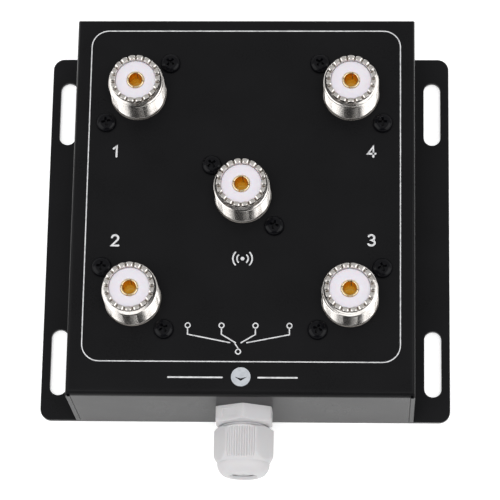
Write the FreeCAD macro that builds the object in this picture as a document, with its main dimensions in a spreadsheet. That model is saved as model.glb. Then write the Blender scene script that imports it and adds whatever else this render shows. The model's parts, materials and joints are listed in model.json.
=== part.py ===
import FreeCAD, Part
import math
import os
from types import SimpleNamespace

import Sketcher

# A four-way coaxial antenna switch: a flat steel box on a slotted base plate, with five
# threaded radio sockets in its top panel, four relays on a board inside, and a plastic
# cable gland in its front wall.
#
# Frame, in millimetres: the origin is the centre of the base plate's underside, X runs to
# the right, Y runs back from the gland's wall, and Z runs up through the top panel.

# Driving dimensions: name, value, meaning. Round sizes are diameters.
SIZES = [
    ("box_width", 98.5, "over the cover's side walls"),
    ("box_depth", 112.5, "over the cover's front and back walls, and of the base plate"),
    ("box_height", 34.0, "from the base plate's underside to the top panel"),
    ("ear_reach", 10.75, "each ear of the base plate past the cover"),
    ("plate_gauge", 1.5, "base plate thickness"),
    ("plate_corner", 3.3, "base plate corner radius"),
    ("slot_edge", 5.0, "middle of a mounting slot from the ear's end"),
    ("slot_spread_y", 77.6, "between the front and back mounting slots"),
    ("slot_length", 20.0, "mounting slot, end to end"),
    ("slot_width", 5.0, "mounting slot, side to side"),
    ("sheet_gauge", 1.2, "cover sheet thickness"),
    ("front_bend", 2.0, "outer radius of the front bend"),
    ("back_bend", 0.5, "outer radius of the back bend"),
    ("side_bend", 1.5, "outer radius of the side bends"),
    ("corner_seam", 0.15, "gap between the end of a front or back wall and the side wall"),
    ("notch_drop", 0.8, "top of a corner notch below the panel"),
    ("notch_height", 1.8, "corner notch over the seam, up and down"),
    ("notch_reach", 0.8, "corner notch into the end of the side wall"),
    ("tab_spread", 64.0, "between the left and right fixing tabs"),
    ("tab_width", 12.0, "fixing tab along the wall"),
    ("tab_reach", 8.0, "fixing tab inwards from the wall"),
    ("socket_side", 18.4, "middle of an antenna socket from the side wall"),
    ("socket_back_y", 33.55, "back row of antenna sockets"),
    ("socket_front_y", -28.15, "front row of antenna sockets"),
    ("hub_socket_y", 2.45, "middle socket, for the transmitter"),
    ("socket_rise", 13.0, "top of a socket above the panel"),
    ("socket_thread", 15.88, "outside of the socket's thread"),
    ("socket_pitch", 1.058, "pitch of the socket's thread"),
    ("socket_neck", 15.4, "plain barrel through the panel"),
    ("socket_neck_rise", 0.3, "end of the plain barrel above the panel"),
    ("socket_cut", 0.5, "depth of the socket's thread"),
    ("socket_thread_rise", 11.9, "end of the threaded barrel above the panel"),
    ("socket_thread_start", 1.0, "first thread groove above the panel"),
    ("mouth_ring", 14.2, "outside of the toothed ring at the mouth"),
    ("mouth_undercut", 13.2, "bottom of the groove under the toothed ring"),
    ("mouth_undercut_width", 0.35, "width of that groove"),
    ("tooth_count", 18, "notches round the mouth"),
    ("notch_width", 1.0, "notch between two teeth"),
    ("notch_depth", 0.7, "depth of a notch"),
    ("socket_bore", 11.6, "hole in the shell that holds the insulator"),
    ("insulator_drop", 1.4, "insulator below the mouth"),
    ("insulator_tail", 2.0, "insulator behind the flange"),
    ("insulator_rim", 13.2, "shoulder behind the flange"),
    ("contact_outside", 4.9, "sleeve of the centre contact"),
    ("contact_bore", 4.0, "hole in the centre contact"),
    ("contact_depth", 9.0, "depth of that hole"),
    ("contact_slit", 0.4, "slit in the sprung sleeve"),
    ("contact_slit_depth", 5.0, "length of a slit"),
    ("contact_drop", 1.1, "contact below the mouth"),
    ("contact_shoulder", 6.4, "shoulder behind the insulator"),
    ("contact_shoulder_length", 0.8, "thickness of that shoulder"),
    ("contact_pin", 2.0, "solder pin"),
    ("contact_pin_proud", 1.2, "solder pin past the board"),
    ("flange_side", 25.4, "square socket flange"),
    ("flange_gauge", 2.0, "socket flange thickness"),
    ("flange_corner", 2.0, "socket flange corner radius"),
    ("flange_hole_spread", 18.2, "between two flange holes along a side"),
    ("socket_gap", 0.2, "round a socket's barrel in the panel"),
    ("screw_thread", 3.0, "socket and board screws"),
    ("screw_gap", 0.2, "round a screw in a plain hole"),
    ("thread_gap", 0.05, "round a thread in its mate"),
    ("socket_screw_length", 8.0, "under the head"),
    ("board_screw_length", 5.0, "under the head"),
    ("pan_head", 5.7, "pan head across"),
    ("pan_head_height", 2.0, "pan head"),
    ("pan_head_crown", 3.4, "radius of the pan head's crown"),
    ("pan_head_edge", 0.7, "straight edge of the pan head"),
    ("cross_length", 3.0, "cross recess"),
    ("cross_width", 0.7, "one arm of the recess"),
    ("cross_depth", 1.2, "depth of the recess"),
    ("standoff_flats", 5.5, "hexagonal standoff across flats"),
    ("standoff_length", 10.0, "between the flange and the board"),
    ("board_side_margin", 4.05, "circuit board past its outer screws, left and right"),
    ("board_back_margin", 5.1, "circuit board past its back screws"),
    ("board_gauge", 1.6, "circuit board thickness"),
    ("board_hole_gap", 0.15, "round a pin in the board"),
    ("pin_proud", 1.0, "a component's pin past the board"),
    ("relay_spread_x", 26.0, "between the left and right relays"),
    ("relay_back_y", 25.5, "back pair of relays"),
    ("relay_front_y", -20.5, "front pair of relays"),
    ("relay_width", 15.6, "relay case, left to right"),
    ("relay_length", 19.2, "relay case, front to back"),
    ("relay_gap", 2.2, "between the relays and the base plate"),
    ("relay_wall", 0.8, "relay case wall"),
    ("relay_edge", 0.6, "relay case edge radius"),
    ("relay_fit", 0.1, "round the relay's base in its case"),
    ("relay_base", 2.0, "relay base thickness"),
    ("yoke_gauge", 1.0, "iron yoke"),
    ("yoke_width", 7.0, "iron yoke, left to right"),
    ("hinge_y", 7.6, "armature hinge behind the relay's middle"),
    ("pole_room", 3.7, "from the iron core's face to the inside of the case"),
    ("pole_face", 6.4, "pole face across"),
    ("pole_cap", 0.8, "pole face thickness"),
    ("core_size", 4.0, "iron core across"),
    ("core_y", 0.5, "coil and core behind the relay's middle"),
    ("coil_rim", 10.0, "coil former's rims"),
    ("coil_wire", 9.4, "over the wire"),
    ("coil_rim_gauge", 0.8, "one rim"),
    ("coil_pin_x", 4.4, "coil pins from the middle"),
    ("relay_pin", 0.8, "relay pins"),
    ("armature_gauge", 1.0, "iron armature"),
    ("armature_width", 9.0, "iron armature, left to right"),
    ("armature_reach", 12.6, "iron armature from its hinge"),
    ("armature_gap", 0.05, "armature to pole, pulled in"),
    ("armature_lift", 3.0, "degrees that the armature stands open"),
    ("blade_gauge", 0.2, "contact spring"),
    ("blade_width", 3.0, "contact spring, left to right"),
    ("blade_reach", 15.6, "contact spring from the hinge"),
    ("blade_drop", 4.0, "spring's tail behind the yoke"),
    ("blade_gap", 0.4, "between that tail and the yoke"),
    ("stud_y", 14.2, "contact studs from the hinge"),
    ("stud_size", 2.0, "contact studs across"),
    ("stud_height", 0.4, "a contact stud"),
    ("post_gauge", 0.4, "fixed contact strip"),
    ("post_width", 2.5, "fixed contact strip, left to right"),
    ("post_x", 3.8, "fixed contact posts from the middle"),
    ("post_y", 8.4, "fixed contact posts ahead of the middle"),
    ("terminal_y", -38.0, "terminal block"),
    ("terminal_pitch", 5.08, "between two terminals"),
    ("terminal_count", 5, "terminals"),
    ("terminal_depth", 9.0, "terminal block, front to back"),
    ("terminal_height", 10.0, "terminal block below the board"),
    ("terminal_entry", 3.4, "square wire entry"),
    ("terminal_entry_depth", 5.5, "depth of a wire entry"),
    ("terminal_screw", 3.0, "terminal screw head"),
    ("terminal_screw_length", 4.0, "terminal screw"),
    ("terminal_screw_sink", 0.6, "terminal screw below its hole's mouth"),
    ("terminal_pin", 1.0, "terminal pins"),
    ("diode_size", 2.6, "diode across"),
    ("diode_length", 5.0, "diode"),
    ("diode_lead", 0.6, "diode lead"),
    ("diode_span", 9.0, "between a diode's two leads"),
    ("diode_sit", 0.1, "between a diode and the board"),
    ("diode_back_y", 40.0, "diodes of the back relays"),
    ("diode_front_y", -8.0, "diodes of the front relays"),
    ("diode_front_x", 26.0, "those diodes from the middle"),
    ("base_screw", 2.5, "base screws"),
    ("base_screw_length", 6.0, "base screws, overall"),
    ("base_screw_head", 4.7, "countersunk head across"),
    ("base_screw_sink", 0.03, "head below the base plate's underside"),
    ("base_screw_gap", 0.05, "round the countersunk head"),
    ("base_cross_length", 2.4, "cross recess of a base screw"),
    ("base_cross_width", 0.5, "one arm of that recess"),
    ("base_cross_depth", 0.8, "depth of that recess"),
    ("clinch_nut", 5.6, "nut pressed on each tab"),
    ("clinch_nut_height", 2.0, "that nut"),
    ("gland_x", 0.6, "gland beside the middle"),
    ("gland_z", 16.0, "gland's axis above the base plate's underside"),
    ("gland_thread", 12.4, "gland's tail thread"),
    ("gland_thread_length", 8.0, "gland's tail behind the wall's face"),
    ("gland_thread_pitch", 1.5, "gland's threads"),
    ("gland_thread_cut", 0.4, "depth of the gland's threads"),
    ("gland_hole_gap", 0.2, "round the gland's tail in the wall"),
    ("gland_flats", 16.0, "gland body across flats"),
    ("gland_hex_length", 5.0, "gland body's hexagon"),
    ("gland_shoulder", 15.4, "end of that hexagon, turned round"),
    ("gland_shoulder_length", 1.0, "length of that turning"),
    ("panel_width", 5.2, "moulded panel in every other flat of the hexagon"),
    ("panel_start", 0.8, "panel from the wall"),
    ("panel_length", 2.7, "panel along the axis"),
    ("panel_depth", 0.3, "panel into the flat"),
    ("neck_size", 13.4, "gland's neck thread, under the cap nut"),
    ("neck_end", 11.5, "end of the neck from the wall"),
    ("cable_way", 8.0, "hole through the gland's body"),
    ("clamp_seat", 11.0, "wider hole in the neck"),
    ("clamp_seat_start", 7.0, "start of that hole from the wall"),
    ("gasket_size", 14.6, "gasket outside"),
    ("gasket_gauge", 0.8, "gasket thickness"),
    ("gasket_gap", 0.1, "round the gasket"),
    ("lock_nut_flats", 15.5, "lock nut inside the wall, across flats"),
    ("lock_nut_length", 4.0, "lock nut"),
    ("cap_flats", 15.3, "cap nut across flats"),
    ("cap_start", 5.45, "cap nut's open end from the wall"),
    ("cap_face", 14.2, "cap nut's open end across"),
    ("cap_bevel", 0.95, "length of the bevel from that end to the hexagon's corners"),
    ("cap_flats_end", 13.7, "end of the hexagon's corners from the wall"),
    ("cap_dome_start", 15.8, "start of the dome from the wall"),
    ("cap_dome", 15.2, "foot of the dome across"),
    ("cap_dome_radius", 5.4, "radius of the dome's side"),
    ("cap_end", 19.55, "end of the dome from the wall"),
    ("cap_end_size", 8.4, "flat end of the dome across"),
    ("cap_mouth", 7.0, "cable's hole in the dome"),
    ("cap_mouth_lip", 0.95, "lip round that hole, along the axis"),
    ("cap_wall_step", 13.0, "inner shoulder from the wall"),
    ("cap_taper_start", 12.4, "wide end of the inner taper"),
    ("cap_taper_end", 8.6, "narrow end of the inner taper"),
    ("cap_turn", 4.0, "degrees that the cap nut stands turned"),
    ("rib_count", 10, "grooves on each ribbed face"),
    ("rib_pitch", 0.74, "between two grooves"),
    ("rib_width", 0.26, "one groove"),
    ("rib_depth", 0.2, "one groove"),
    ("rib_start", 6.3, "ribs from the wall"),
    ("rib_end", 15.0, "end of the ribs from the wall"),
    ("claw_start", 9.0, "rear of the clamping claw from the wall"),
    ("claw_size", 10.8, "claw's ring inside the neck"),
    ("claw_flange", 12.8, "claw's flange across"),
    ("claw_flange_gauge", 0.8, "claw's flange"),
    ("claw_finger_root", 11.8, "fingers at the flange, across"),
    ("claw_finger_tip", 9.5, "fingers at their tips, across"),
    ("claw_end", 16.6, "tips of the fingers from the wall"),
    ("claw_count", 8, "gaps between fingers"),
    ("claw_slit", 0.9, "gap between two fingers"),
    ("seal_bore", 6.5, "hole for the cable in the rubber seal"),
    ("seal_size", 8.2, "rubber seal across"),
    ("seal_start", 8.0, "rear of the seal from the wall"),
    ("seal_end", 18.4, "front of the seal from the wall"),
    ("seat_gap", 0.05, "between two round pieces that are fitted together"),
]

TINY = 0.5  # how far a cutting outline runs past the face that it cuts
SHEET_NAME = "Sizes"

doc = FreeCAD.newDocument("antenna_switch")
nodes = []


class Size:
    """A length that knows its value now and its expression on the sheet."""

    def __init__(self, value, text):
        self.value = value
        self.text = text

    def __add__(self, other):
        other = size_of(other)
        return Size(self.value + other.value, f"({self.text} + {other.text})")

    def __radd__(self, other):
        return size_of(other) + self

    def __sub__(self, other):
        other = size_of(other)
        return Size(self.value - other.value, f"({self.text} - {other.text})")

    def __rsub__(self, other):
        return size_of(other) - self

    def __mul__(self, other):
        other = size_of(other)
        return Size(self.value * other.value, f"({self.text} * {other.text})")

    def __rmul__(self, other):
        return size_of(other) * self

    def __truediv__(self, other):
        other = size_of(other)
        return Size(self.value / other.value, f"({self.text} / {other.text})")

    def __neg__(self):
        return Size(-self.value, f"(0 - {self.text})")


def size_of(number):
    """A plain number as a Size."""
    if isinstance(number, Size):
        return number
    return Size(float(number), f"({float(number):.9f})")


def whole(size):
    """The whole number at or below a Size."""
    return Size(float(math.floor(size.value)), f"floor({size.text})")


def read_sheet():
    """Put the driving dimensions in the sheet and hand them back by name."""
    sheet = doc.addObject("Spreadsheet::Sheet", SHEET_NAME)
    for row, (alias, value, meaning) in enumerate(SIZES, start=1):
        sheet.set(f"A{row}", meaning)
        sheet.set(f"B{row}", str(value))
        sheet.setAlias(f"B{row}", alias)
    doc.recompute()
    named = {alias: Size(float(sheet.get(alias)), f"{SHEET_NAME}.{alias}") for alias, _, _ in SIZES}
    return SimpleNamespace(**named)


s = read_sheet()


def bind(thing, prop, size):
    """Tie one property of an object to the sheet."""
    thing.setExpression(prop, size_of(size).text)


# Bodies, sketches and features


def new_body(label, place=(0, 0, 0), turn=None, node=True):
    """An empty body at a place, turned about one axis by some degrees."""
    body = doc.addObject("PartDesign::Body", label)
    body.Label = label
    if turn:
        axis, degrees = turn
        rotation = FreeCAD.Rotation(FreeCAD.Vector(*axis), degrees)
        body.Placement = FreeCAD.Placement(FreeCAD.Vector(), rotation)
    for letter, size in zip("xyz", place):
        bind(body, f"Placement.Base.{letter}", size)
    if node:
        nodes.append(body)
    return body


def origin_part(body, role):
    """One of the body's own origin planes or axes."""
    return next(part for part in body.Origin.OriginFeatures if part.Role == role)


def new_sketch(body, plane, lift=0):
    """A sketch on one of the body's planes, lifted along that plane's normal."""
    sketch = body.newObject("Sketcher::SketchObject", "outline")
    sketch.AttachmentSupport = [(origin_part(body, plane), "")]
    sketch.MapMode = "FlatFace"
    bind(sketch, "AttachmentOffset.Base.z", lift)
    return sketch


def pin(sketch, piece, point, x, y):
    """Hold one point of a sketch at x, y."""
    for kind, size in (("DistanceX", x), ("DistanceY", y)):
        size = size_of(size)
        number = sketch.addConstraint(Sketcher.Constraint(kind, -1, 1, piece, point, size.value))
        bind(sketch, f"Constraints[{number}]", size)


def arc_between(start, end, radius):
    """The short arc from start to end, anticlockwise, as a sketch edge."""
    chord = end - start
    middle = (start + end) / 2
    rise = math.sqrt(max(radius ** 2 - (chord.Length / 2) ** 2, 0.0))
    aside = FreeCAD.Vector(-chord.y, chord.x, 0).normalize()
    centre = middle + aside * rise
    first = math.atan2(start.y - centre.y, start.x - centre.x)
    last = math.atan2(end.y - centre.y, end.x - centre.x)
    circle = Part.Circle(centre, FreeCAD.Vector(0, 0, 1), radius)
    return Part.ArcOfCircle(circle, first, last)


def add_outline(sketch, points, arcs=None, by_radius=True):
    """A closed outline through points. arcs gives the radius of each round side by number."""
    arcs = arcs or {}
    first = sketch.GeometryCount
    count = len(points)
    spots = [FreeCAD.Vector(size_of(x).value, size_of(y).value, 0) for x, y in points]
    edges = []
    for side in range(count):
        start, end = spots[side], spots[(side + 1) % count]
        if side in arcs:
            edges.append(arc_between(start, end, arcs[side].value))
        else:
            edges.append(Part.LineSegment(start, end))
    sketch.addGeometry(edges)
    joins = [
        Sketcher.Constraint("Coincident", first + side, 2, first + (side + 1) % count, 1)
        for side in range(count)
    ]
    sketch.addConstraint(joins)
    for side, (x, y) in enumerate(points):
        pin(sketch, first + side, 1, x, y)
    for side, radius in arcs.items() if by_radius else ():
        number = sketch.addConstraint(Sketcher.Constraint("Radius", first + side, radius.value))
        bind(sketch, f"Constraints[{number}]", radius)


def add_box(sketch, left, right, low, high):
    """A rectangle between two x and two y values."""
    add_outline(sketch, [(left, low), (right, low), (right, high), (left, high)])


def add_circle(sketch, x, y, across):
    """A circle by its middle and diameter."""
    x, y, across = size_of(x), size_of(y), size_of(across)
    middle = FreeCAD.Vector(x.value, y.value, 0)
    edge = sketch.addGeometry(Part.Circle(middle, FreeCAD.Vector(0, 0, 1), across.value / 2))
    pin(sketch, edge, 3, x, y)
    number = sketch.addConstraint(Sketcher.Constraint("Diameter", edge, across.value))
    bind(sketch, f"Constraints[{number}]", across)


def add_hexagon(sketch, flats, corner_degrees=0.0, x=0, y=0):
    """A hexagon by its width across flats, with a corner at an angle from +x."""
    corners = []
    for step in range(6):
        angle = math.radians(corner_degrees + 60 * step)
        corners.append(
            (x + flats * (math.cos(angle) / math.sqrt(3)), y + flats * (math.sin(angle) / math.sqrt(3)))
        )
    add_outline(sketch, corners)


def add_slot(sketch, x, y, length, width):
    """A slot with round ends, long in y."""
    run = (length - width) / 2
    half = width / 2
    first = sketch.GeometryCount
    add_outline(
        sketch,
        [(x + half, y - run), (x + half, y + run), (x - half, y + run), (x - half, y - run)],
        arcs={1: half, 3: half},
        by_radius=False,
    )
    for side, middle in ((1, y + run), (3, y - run)):
        level = Sketcher.Constraint("DistanceY", -1, 1, first + side, 3, middle.value)
        bind(sketch, f"Constraints[{sketch.addConstraint(level)}]", middle)


def add_cross(sketch, length, width):
    """A plus sign."""
    far, near = length / 2, width / 2
    quarter = [(far, -near), (far, near), (near, near)]
    points = []
    for _ in range(4):
        points += quarter
        quarter = [(-y, x) for x, y in quarter]
    add_outline(sketch, points)


def finish_feature(body, feature):
    """Make a feature the body's result, and rebuild."""
    body.Tip = feature
    doc.recompute()
    return feature


def pad(body, sketch, length, middle=False, back=False):
    """Raise a sketch along its normal."""
    feature = body.newObject("PartDesign::Pad", "pad")
    feature.Profile = sketch
    bind(feature, "Length", length)
    feature.Midplane = middle
    feature.Reversed = back
    return finish_feature(body, feature)


def removes(body, before):
    """Stop if a cut took nothing away."""
    if body.Shape.Volume > before - 1e-6:
        raise RuntimeError(f"a cut in {body.Label} removes nothing")


def pocket(body, sketch, depth, forward=False):
    """Cut a sketch against its normal, or forward along it."""
    before = body.Shape.Volume
    feature = body.newObject("PartDesign::Pocket", "pocket")
    feature.Profile = sketch
    bind(feature, "Length", depth)
    feature.Reversed = forward
    finish_feature(body, feature)
    removes(body, before)
    return feature


def revolve(body, points, arcs=None):
    """A turned piece about the body's Z axis, from radius and height points."""
    sketch = new_sketch(body, "XZ_Plane")
    add_outline(sketch, points, arcs)
    feature = body.newObject("PartDesign::Revolution", "turning")
    feature.Profile = sketch
    feature.ReferenceAxis = (sketch, ["V_Axis"])
    feature.Angle = 360
    return finish_feature(body, feature)


def turn_away(body, points, arcs=None):
    """Cut a ring about the body's Z axis, from radius and height points."""
    before = body.Shape.Volume
    sketch = new_sketch(body, "XZ_Plane")
    add_outline(sketch, points, arcs)
    feature = body.newObject("PartDesign::Groove", "groove")
    feature.Profile = sketch
    feature.ReferenceAxis = (sketch, ["V_Axis"])
    feature.Angle = 360
    finish_feature(body, feature)
    removes(body, before)
    return feature


def around(body, feature, count):
    """Repeat a feature round the body's Z axis."""
    pattern = body.newObject("PartDesign::PolarPattern", "around")
    pattern.Originals = [feature]
    pattern.Axis = (origin_part(body, "Z_Axis"), [""])
    pattern.Angle = 360
    bind(pattern, "Occurrences", count)
    return finish_feature(body, pattern)


def along(body, feature, axis, step, count):
    """Repeat a feature along one of the body's axes."""
    pattern = body.newObject("PartDesign::LinearPattern", "along")
    pattern.Originals = [feature]
    pattern.Direction = (origin_part(body, axis), [""])
    bind(pattern, "Length", step * (count - 1))
    bind(pattern, "Occurrences", count)
    return finish_feature(body, pattern)


def edges_at(shape, along_axis, places):
    """Names of the straight edges along X, Y or Z whose other two coordinates are in places."""
    spare = [axis for axis in range(3) if axis != along_axis]
    names = []
    for number, edge in enumerate(shape.Edges, start=1):
        box = edge.BoundBox
        lows = (box.XMin, box.YMin, box.ZMin)
        highs = (box.XMax, box.YMax, box.ZMax)
        if any(highs[axis] - lows[axis] > 1e-4 for axis in spare):
            continue
        spot = [lows[axis] for axis in spare]
        if any(all(abs(a - b) < 1e-3 for a, b in zip(spot, place)) for place in places):
            names.append(f"Edge{number}")
    return names


def fillet(body, names, radius):
    """Round the named edges of the body's last feature."""
    solid = body.Tip
    feature = body.newObject("PartDesign::Fillet", "rounding")
    feature.Base = (solid, names)
    bind(feature, "Radius", radius)
    return finish_feature(body, feature)


def thread_rings(body, across, cut, pitch, first, last):
    """A thread drawn as rings: one V groove, repeated from first towards last."""
    crest = across / 2
    half = pitch * 0.35
    ring = turn_away(
        body,
        [(crest - cut, first), (crest + 0.01, first - half), (crest + 0.01, first + half)],
    )
    return along(body, ring, "Z_Axis", pitch, whole((last - first) / pitch) + 1)


def group(label, pieces):
    """One node of separate solids: each piece is a body and the places where it is used."""
    shapes = []
    for master, places in pieces:
        for place in places:
            copy = master.Shape.copy()
            copy.Placement = place.multiply(copy.Placement)
            shapes.append(copy)
    feature = doc.addObject("Part::Feature", label)
    feature.Label = label
    feature.Shape = Part.makeCompound(shapes)
    feature.Placement = FreeCAD.Placement()
    nodes.append(feature)
    return feature


def at(x, y, z, flipped=False):
    """A place, upright or turned over about X."""
    rotation = FreeCAD.Rotation(FreeCAD.Vector(1, 0, 0), 180 if flipped else 0)
    spot = [size_of(size).value for size in (x, y, z)]
    return FreeCAD.Placement(FreeCAD.Vector(*spot), rotation)


# Places that several pieces share

FLANGE_UNDER = s.box_height - s.sheet_gauge - s.flange_gauge
BOARD_TOP = FLANGE_UNDER - s.standoff_length
BOARD_UNDER = BOARD_TOP - s.board_gauge
RELAY_HEIGHT = BOARD_UNDER - s.plate_gauge - s.relay_gap
POLE_HEIGHT = RELAY_HEIGHT - s.relay_wall - s.pole_room
PLATE_WIDTH = s.box_width + 2 * s.ear_reach
TAB_X = s.tab_spread / 2
TAB_Y = s.box_depth / 2 - s.sheet_gauge - s.tab_reach / 2
WALL_FACE_Y = -s.box_depth / 2
PLAIN_HOLE = s.screw_thread + 2 * s.screw_gap
BASE_HOLE = s.base_screw + 2 * s.screw_gap
FLIP = ((1, 0, 0), 180)
OUT_OF_WALL = ((1, 0, 0), 90)
HOLE_STEP = s.flange_hole_spread / 2
SOCKET_X = s.box_width / 2 - s.socket_side
BOARD_SIDE = SOCKET_X + HOLE_STEP + s.board_side_margin
BOARD_FRONT = s.terminal_y - s.terminal_depth / 2
BOARD_BACK = s.socket_back_y + HOLE_STEP + s.board_back_margin

# Socket name, middle, and which way its two screws lie across it: +1 runs from the
# front left hole to the back right one, -1 from the back left hole to the front right one
SOCKETS = [
    ("antenna_1", -SOCKET_X, s.socket_back_y, 1),
    ("antenna_2", -SOCKET_X, s.socket_front_y, -1),
    ("antenna_3", SOCKET_X, s.socket_front_y, 1),
    ("antenna_4", SOCKET_X, s.socket_back_y, -1),
    ("transmitter", size_of(0), s.hub_socket_y, -1),
]
RELAYS = [
    ("relay_1", -s.relay_spread_x / 2, s.relay_back_y),
    ("relay_2", -s.relay_spread_x / 2, s.relay_front_y),
    ("relay_3", s.relay_spread_x / 2, s.relay_front_y),
    ("relay_4", s.relay_spread_x / 2, s.relay_back_y),
]
DIODES = [
    (-s.relay_spread_x / 2, s.diode_back_y),
    (-s.diode_front_x, s.diode_front_y),
    (s.diode_front_x, s.diode_front_y),
    (s.relay_spread_x / 2, s.diode_back_y),
]


def screw_spots():
    """The two screws of every socket."""
    spots = []
    for _, x, y, slant in SOCKETS:
        for side in (-1, 1):
            spots.append((x + side * HOLE_STEP, y + side * slant * HOLE_STEP))
    return spots


def tab_spots():
    """The four fixing tabs."""
    return [(side * TAB_X, end * TAB_Y) for side in (-1, 1) for end in (-1, 1)]


# Casing


def make_base_plate():
    """A flat plate with two slotted ears and four countersunk holes."""
    body = new_body("base_plate")
    outline = new_sketch(body, "XY_Plane")
    half_w, half_d = PLATE_WIDTH / 2, s.box_depth / 2
    add_box(outline, -half_w, half_w, -half_d, half_d)
    pad(body, outline, s.plate_gauge)
    corners = [(x * half_w.value, y * half_d.value) for x in (-1, 1) for y in (-1, 1)]
    fillet(body, edges_at(body.Shape, 2, corners), s.plate_corner)
    slots = new_sketch(body, "XY_Plane", s.plate_gauge)
    for side in (-1, 1):
        for end in (-1, 1):
            x, y = side * (half_w - s.slot_edge), end * s.slot_spread_y / 2
            add_slot(slots, x, y, s.slot_length, s.slot_width)
    pocket(body, slots, s.plate_gauge)
    holes = new_sketch(body, "XY_Plane", s.plate_gauge)
    for x, y in tab_spots():
        add_circle(holes, x, y, BASE_HOLE)
    pocket(body, holes, s.plate_gauge)
    rims = []
    for number, edge in enumerate(body.Shape.Edges, start=1):
        if not isinstance(edge.Curve, Part.Circle) or edge.BoundBox.ZMax > 1e-4:
            continue
        if abs(edge.Curve.Radius - BASE_HOLE.value / 2) < 1e-4:
            rims.append(f"Edge{number}")
    solid = body.Tip
    sink = body.newObject("PartDesign::Chamfer", "countersinks")
    sink.Base = (solid, rims)
    bind(sink, "Size", (s.base_screw_head - BASE_HOLE) / 2 + s.base_screw_sink + s.base_screw_gap)
    finish_feature(body, sink)


def make_cover():
    """A five-sided cover folded from one sheet, open below."""
    body = new_body("cover")
    gauge, foot, top = s.sheet_gauge, s.plate_gauge, s.box_height
    half_w, half_d = s.box_width / 2, s.box_depth / 2
    inner_w = half_w - gauge
    channel = new_sketch(body, "XZ_Plane")
    bend = s.side_bend
    add_outline(
        channel,
        [
            (half_w, foot), (half_w, top - bend), (half_w - bend, top), (bend - half_w, top),
            (-half_w, top - bend), (-half_w, foot), (-inner_w, foot), (-inner_w, top - gauge),
            (inner_w, top - gauge), (inner_w, foot),
        ],
        arcs={1: bend, 3: bend},
    )
    pad(body, channel, s.box_depth, middle=True)
    walls = new_sketch(body, "YZ_Plane")
    for outer, inner in ((-half_d, gauge - half_d), (half_d - gauge, half_d)):
        add_box(walls, outer, inner, foot, top)
    pad(body, walls, 2 * inner_w, middle=True)
    inner_bend = [((gauge - half_d).value, (top - gauge).value)]
    fillet(body, edges_at(body.Shape, 0, inner_bend), s.front_bend - gauge)
    shape_bends(body)
    open_corners(body)
    tabs = new_sketch(body, "XY_Plane", foot)
    for x, y in tab_spots():
        end = 1 if y.value > 0 else -1
        low, high = sorted(
            (end * (half_d - gauge / 2), end * (half_d - gauge - s.tab_reach)), key=lambda size: size.value
        )
        add_box(tabs, x - s.tab_width / 2, x + s.tab_width / 2, low, high)
    pad(body, tabs, gauge)
    tab_holes = new_sketch(body, "XY_Plane", foot + gauge)
    for x, y in tab_spots():
        add_circle(tab_holes, x, y, BASE_HOLE)
    pocket(body, tab_holes, gauge)
    panel_holes = new_sketch(body, "XY_Plane", top)
    for _, x, y, _ in SOCKETS:
        add_circle(panel_holes, x, y, s.socket_thread + 2 * s.socket_gap)
    for x, y in screw_spots():
        add_circle(panel_holes, x, y, PLAIN_HOLE)
    pocket(body, panel_holes, gauge)
    gland_hole = new_sketch(body, "XZ_Plane", half_d)
    add_circle(gland_hole, s.gland_x, s.gland_z, s.gland_thread + 2 * s.gland_hole_gap)
    pocket(body, gland_hole, gauge)


def shape_bends(body):
    """Round the cover's top edge above the front wall and above the back wall."""
    top, half_d = s.box_height, s.box_depth / 2
    bends = new_sketch(body, "YZ_Plane", s.box_width / 2 + TINY)
    front, back = s.front_bend, s.back_bend
    add_outline(
        bends,
        [
            (front - half_d, top), (-half_d, top - front), (-half_d - TINY, top - front),
            (-half_d - TINY, top + TINY), (front - half_d, top + TINY),
        ],
        arcs={0: front},
    )
    add_outline(
        bends,
        [
            (half_d, top - back), (half_d - back, top), (half_d - back, top + TINY),
            (half_d + TINY, top + TINY), (half_d + TINY, top - back),
        ],
        arcs={0: back},
    )
    pocket(body, bends, s.box_width + 2 * TINY)


def open_corners(body):
    """Part each upright corner by a seam, with a small notch where the seam meets the bends."""
    inner_w, half_d = s.box_width / 2 - s.sheet_gauge, s.box_depth / 2
    high = s.box_height - s.notch_drop
    low = high - s.notch_height
    for face in (half_d, s.sheet_gauge - half_d):
        seams = new_sketch(body, "XZ_Plane", face)
        for side in (-1, 1):
            near, far = side * (inner_w - s.corner_seam), side * inner_w
            end = side * (inner_w + s.notch_reach)
            add_outline(
                seams,
                [
                    (near, s.plate_gauge - TINY), (far, s.plate_gauge - TINY), (far, low), (end, low),
                    (end, high), (near, high),
                ],
            )
        pocket(body, seams, s.sheet_gauge)


def make_casing_fasteners():
    """Countersunk screws from below, into nuts pressed on the cover's tabs."""
    screw = new_body("base_screw_master", node=False)
    head, shank, sink = s.base_screw_head / 2, s.base_screw / 2, s.base_screw_sink
    revolve(
        screw,
        [
            (0, sink), (head, sink), (shank, sink + head - shank), (shank, s.base_screw_length),
            (0, s.base_screw_length),
        ],
    )
    recess = new_sketch(screw, "XY_Plane", sink)
    add_cross(recess, s.base_cross_length, s.base_cross_width)
    pocket(screw, recess, s.base_cross_depth, forward=True)
    group("base_screws", [(screw, [at(x, y, 0) for x, y in tab_spots()])])
    nut = new_body("clinch_nut_master", node=False)
    inner, outer = s.base_screw / 2 + s.thread_gap, s.clinch_nut / 2
    height, bevel = s.clinch_nut_height, s.clinch_nut_height / 8
    revolve(
        nut,
        [(inner, 0), (outer, 0), (outer, height - bevel), (outer - bevel, height), (inner, height)],
    )
    tab_top = s.plate_gauge + s.sheet_gauge
    group("clinch_nuts", [(nut, [at(x, y, tab_top) for x, y in tab_spots()])])


# Sockets: each is made about its own axis, with z = 0 at the panel's top


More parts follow.
